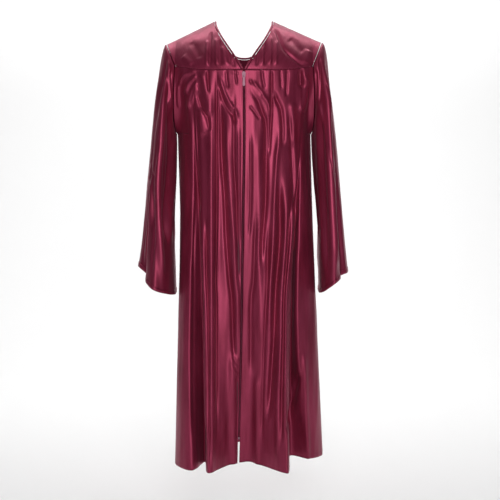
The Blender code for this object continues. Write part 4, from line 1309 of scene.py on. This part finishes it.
def make_tape(side):
    """The zip tape behind the front panel's edge."""
    wearer = SIDE_NAMES[side]
    rows = []
    steps = 120
    for step in range(steps + 1):
        z = SLIDER_TOP_Z + (ZIP_END_Z - SLIDER_TOP_Z) * step / steps
        near = fold_point(side, FRONT_FOLDS[side][0], z)
        inner = fold_point(side, FRONT_FOLDS[side][1], z)
        run = (inner - near)
        run.z = 0.0
        run.normalize()
        inward = Vector((-run.y * side, run.x * side, 0.0)) * TAPE_BEHIND
        rows.append([near + inward + run * (TAPE_START + (TAPE_WIDTH - TAPE_START) * share)
                     for share in grid_steps(6)])
    tape = lay_cloth("looks_zip_tape_" + wearer, to_grid(rows), TAPE, TAPE_WALL,
                     flip=side == RIGHT)
    finish_piece(tape, "zip_tape", "zip_tape_" + wearer)


def make_teeth():
    """The zip's coil: paired loops that meet on the middle line."""
    points, faces = [], []
    count = int((ZIP_TOP_Z - ZIP_END_Z) / TOOTH_PITCH)
    sides = 6
    for number in range(count):
        z = ZIP_TOP_Z - number * TOOTH_PITCH
        for side in (RIGHT, LEFT):
            shift = TOOTH_PITCH * (0.25 * side)
            middle = zip_line(z)
            path = [middle + Vector((side * x, y, shift + rise)) for x, y, rise in TOOTH_LOOP]
            base = len(points)
            for place, at in enumerate(path):
                before = path[max(place - 1, 0)]
                after = path[min(place + 1, len(path) - 1)]
                run = (after - before).normalized()
                up = Vector((0.0, 0.0, 1.0))
                cross = run.cross(up).normalized()
                for corner in range(sides):
                    angle = 2 * math.pi * corner / sides
                    points.append(at + cross * (TOOTH_WIRE * math.cos(angle))
                                  + up * (TOOTH_WIRE * math.sin(angle)))
            faces += tube_faces(base, len(path), sides)
    teeth = add_mesh("looks_zip_coil", points, faces, COIL)
    finish_piece(teeth, "zip_coil", "zip_coil")


def dress_metal():
    for node in ("zip_slider", "zip_pull", "zip_stop"):
        piece = bpy.data.objects[node]
        piece.material_slots[0].material = METAL


# ---------------------------------------------------------------- stage, lights and camera

def add_area(name, location, target, size, power, colour=(1.0, 1.0, 1.0)):
    light = bpy.data.lights.new(name, "AREA")
    light.shape = "RECTANGLE"
    light.size, light.size_y = size
    light.energy = power
    light.color = colour
    lamp = bpy.data.objects.new(name, light)
    lamp.location = location
    aim = Vector(target) - Vector(location)
    lamp.rotation_euler = aim.to_track_quat("-Z", "Y").to_euler()
    bpy.context.scene.collection.objects.link(lamp)


def set_stage():
    """A pale floor that sweeps up behind the gown, pale surroundings and soft lights."""
    floor_z = HEM - 0.16
    profile = [(-6.0, floor_z), (2.2, floor_z)]
    profile += [(2.2 + 1.4 * math.sin(step / 16 * math.pi / 2),
                 floor_z + 1.4 * (1 - math.cos(step / 16 * math.pi / 2)))
                for step in range(1, 17)]
    profile.append((3.6, 4.0))
    points = [(x, y, z) for y, z in profile for x in (-6.0, 6.0)]
    faces = [(2 * i, 2 * i + 1, 2 * i + 3, 2 * i + 2) for i in range(len(profile) - 1)]
    floor, _, _, shader = new_material("pale_floor")
    shader.inputs["Base Color"].default_value = (0.86, 0.86, 0.86, 1.0)
    shader.inputs["Roughness"].default_value = 0.9
    backdrop = add_mesh("floor", points, faces, floor)

    world = bpy.data.worlds.new("pale_room")
    bpy.context.scene.world = world
    world.use_nodes = True
    nodes, links = world.node_tree.nodes, world.node_tree.links
    seen = nodes["Background"]
    seen.inputs["Color"].default_value = (1.0, 1.0, 1.0, 1.0)
    seen.inputs["Strength"].default_value = 1.0
    lit = nodes.new("ShaderNodeBackground")
    lit.inputs["Color"].default_value = (1.0, 1.0, 1.0, 1.0)
    lit.inputs["Strength"].default_value = 0.04
    path = nodes.new("ShaderNodeLightPath")
    mix = nodes.new("ShaderNodeMixShader")
    links.new(path.outputs["Is Camera Ray"], mix.inputs["Fac"])
    links.new(lit.outputs["Background"], mix.inputs[1])
    links.new(seen.outputs["Background"], mix.inputs[2])
    links.new(mix.outputs["Shader"], nodes["World Output"].inputs["Surface"])

    add_area("key", (0.15, -3.9, 0.35), (0.0, 0.0, -0.62), (1.5, 1.9), 88.0)
    add_area("top", (0.0, -0.4, 2.3), (0.0, 0.0, -0.3), (1.6, 1.2), 8.0)
    add_area("backdrop_wash", (0.0, 1.4, 2.6), (0.0, 3.2, -0.8), (4.0, 1.2), 160.0)


def set_camera():
    camera = bpy.data.cameras.new("camera")
    camera.sensor_width = 36.0
    camera.lens = 85.2
    body = bpy.data.objects.new("camera", camera)
    body.location = (0.016, -3.2, -0.43)
    body.rotation_euler = (math.radians(90.0 - 3.26), 0.0, 0.0)
    bpy.context.scene.collection.objects.link(body)
    bpy.context.scene.camera = body
    bpy.context.scene.view_settings.view_transform = "Standard"


def build():
    for side in (RIGHT, LEFT):
        make_front_panel(side)
        make_sleeve(side)
        make_front_yoke(side)
        make_tape(side)
    make_back_panel()
    make_back_yoke()
    make_teeth()
    dress_metal()
    set_stage()
    set_camera()


build()
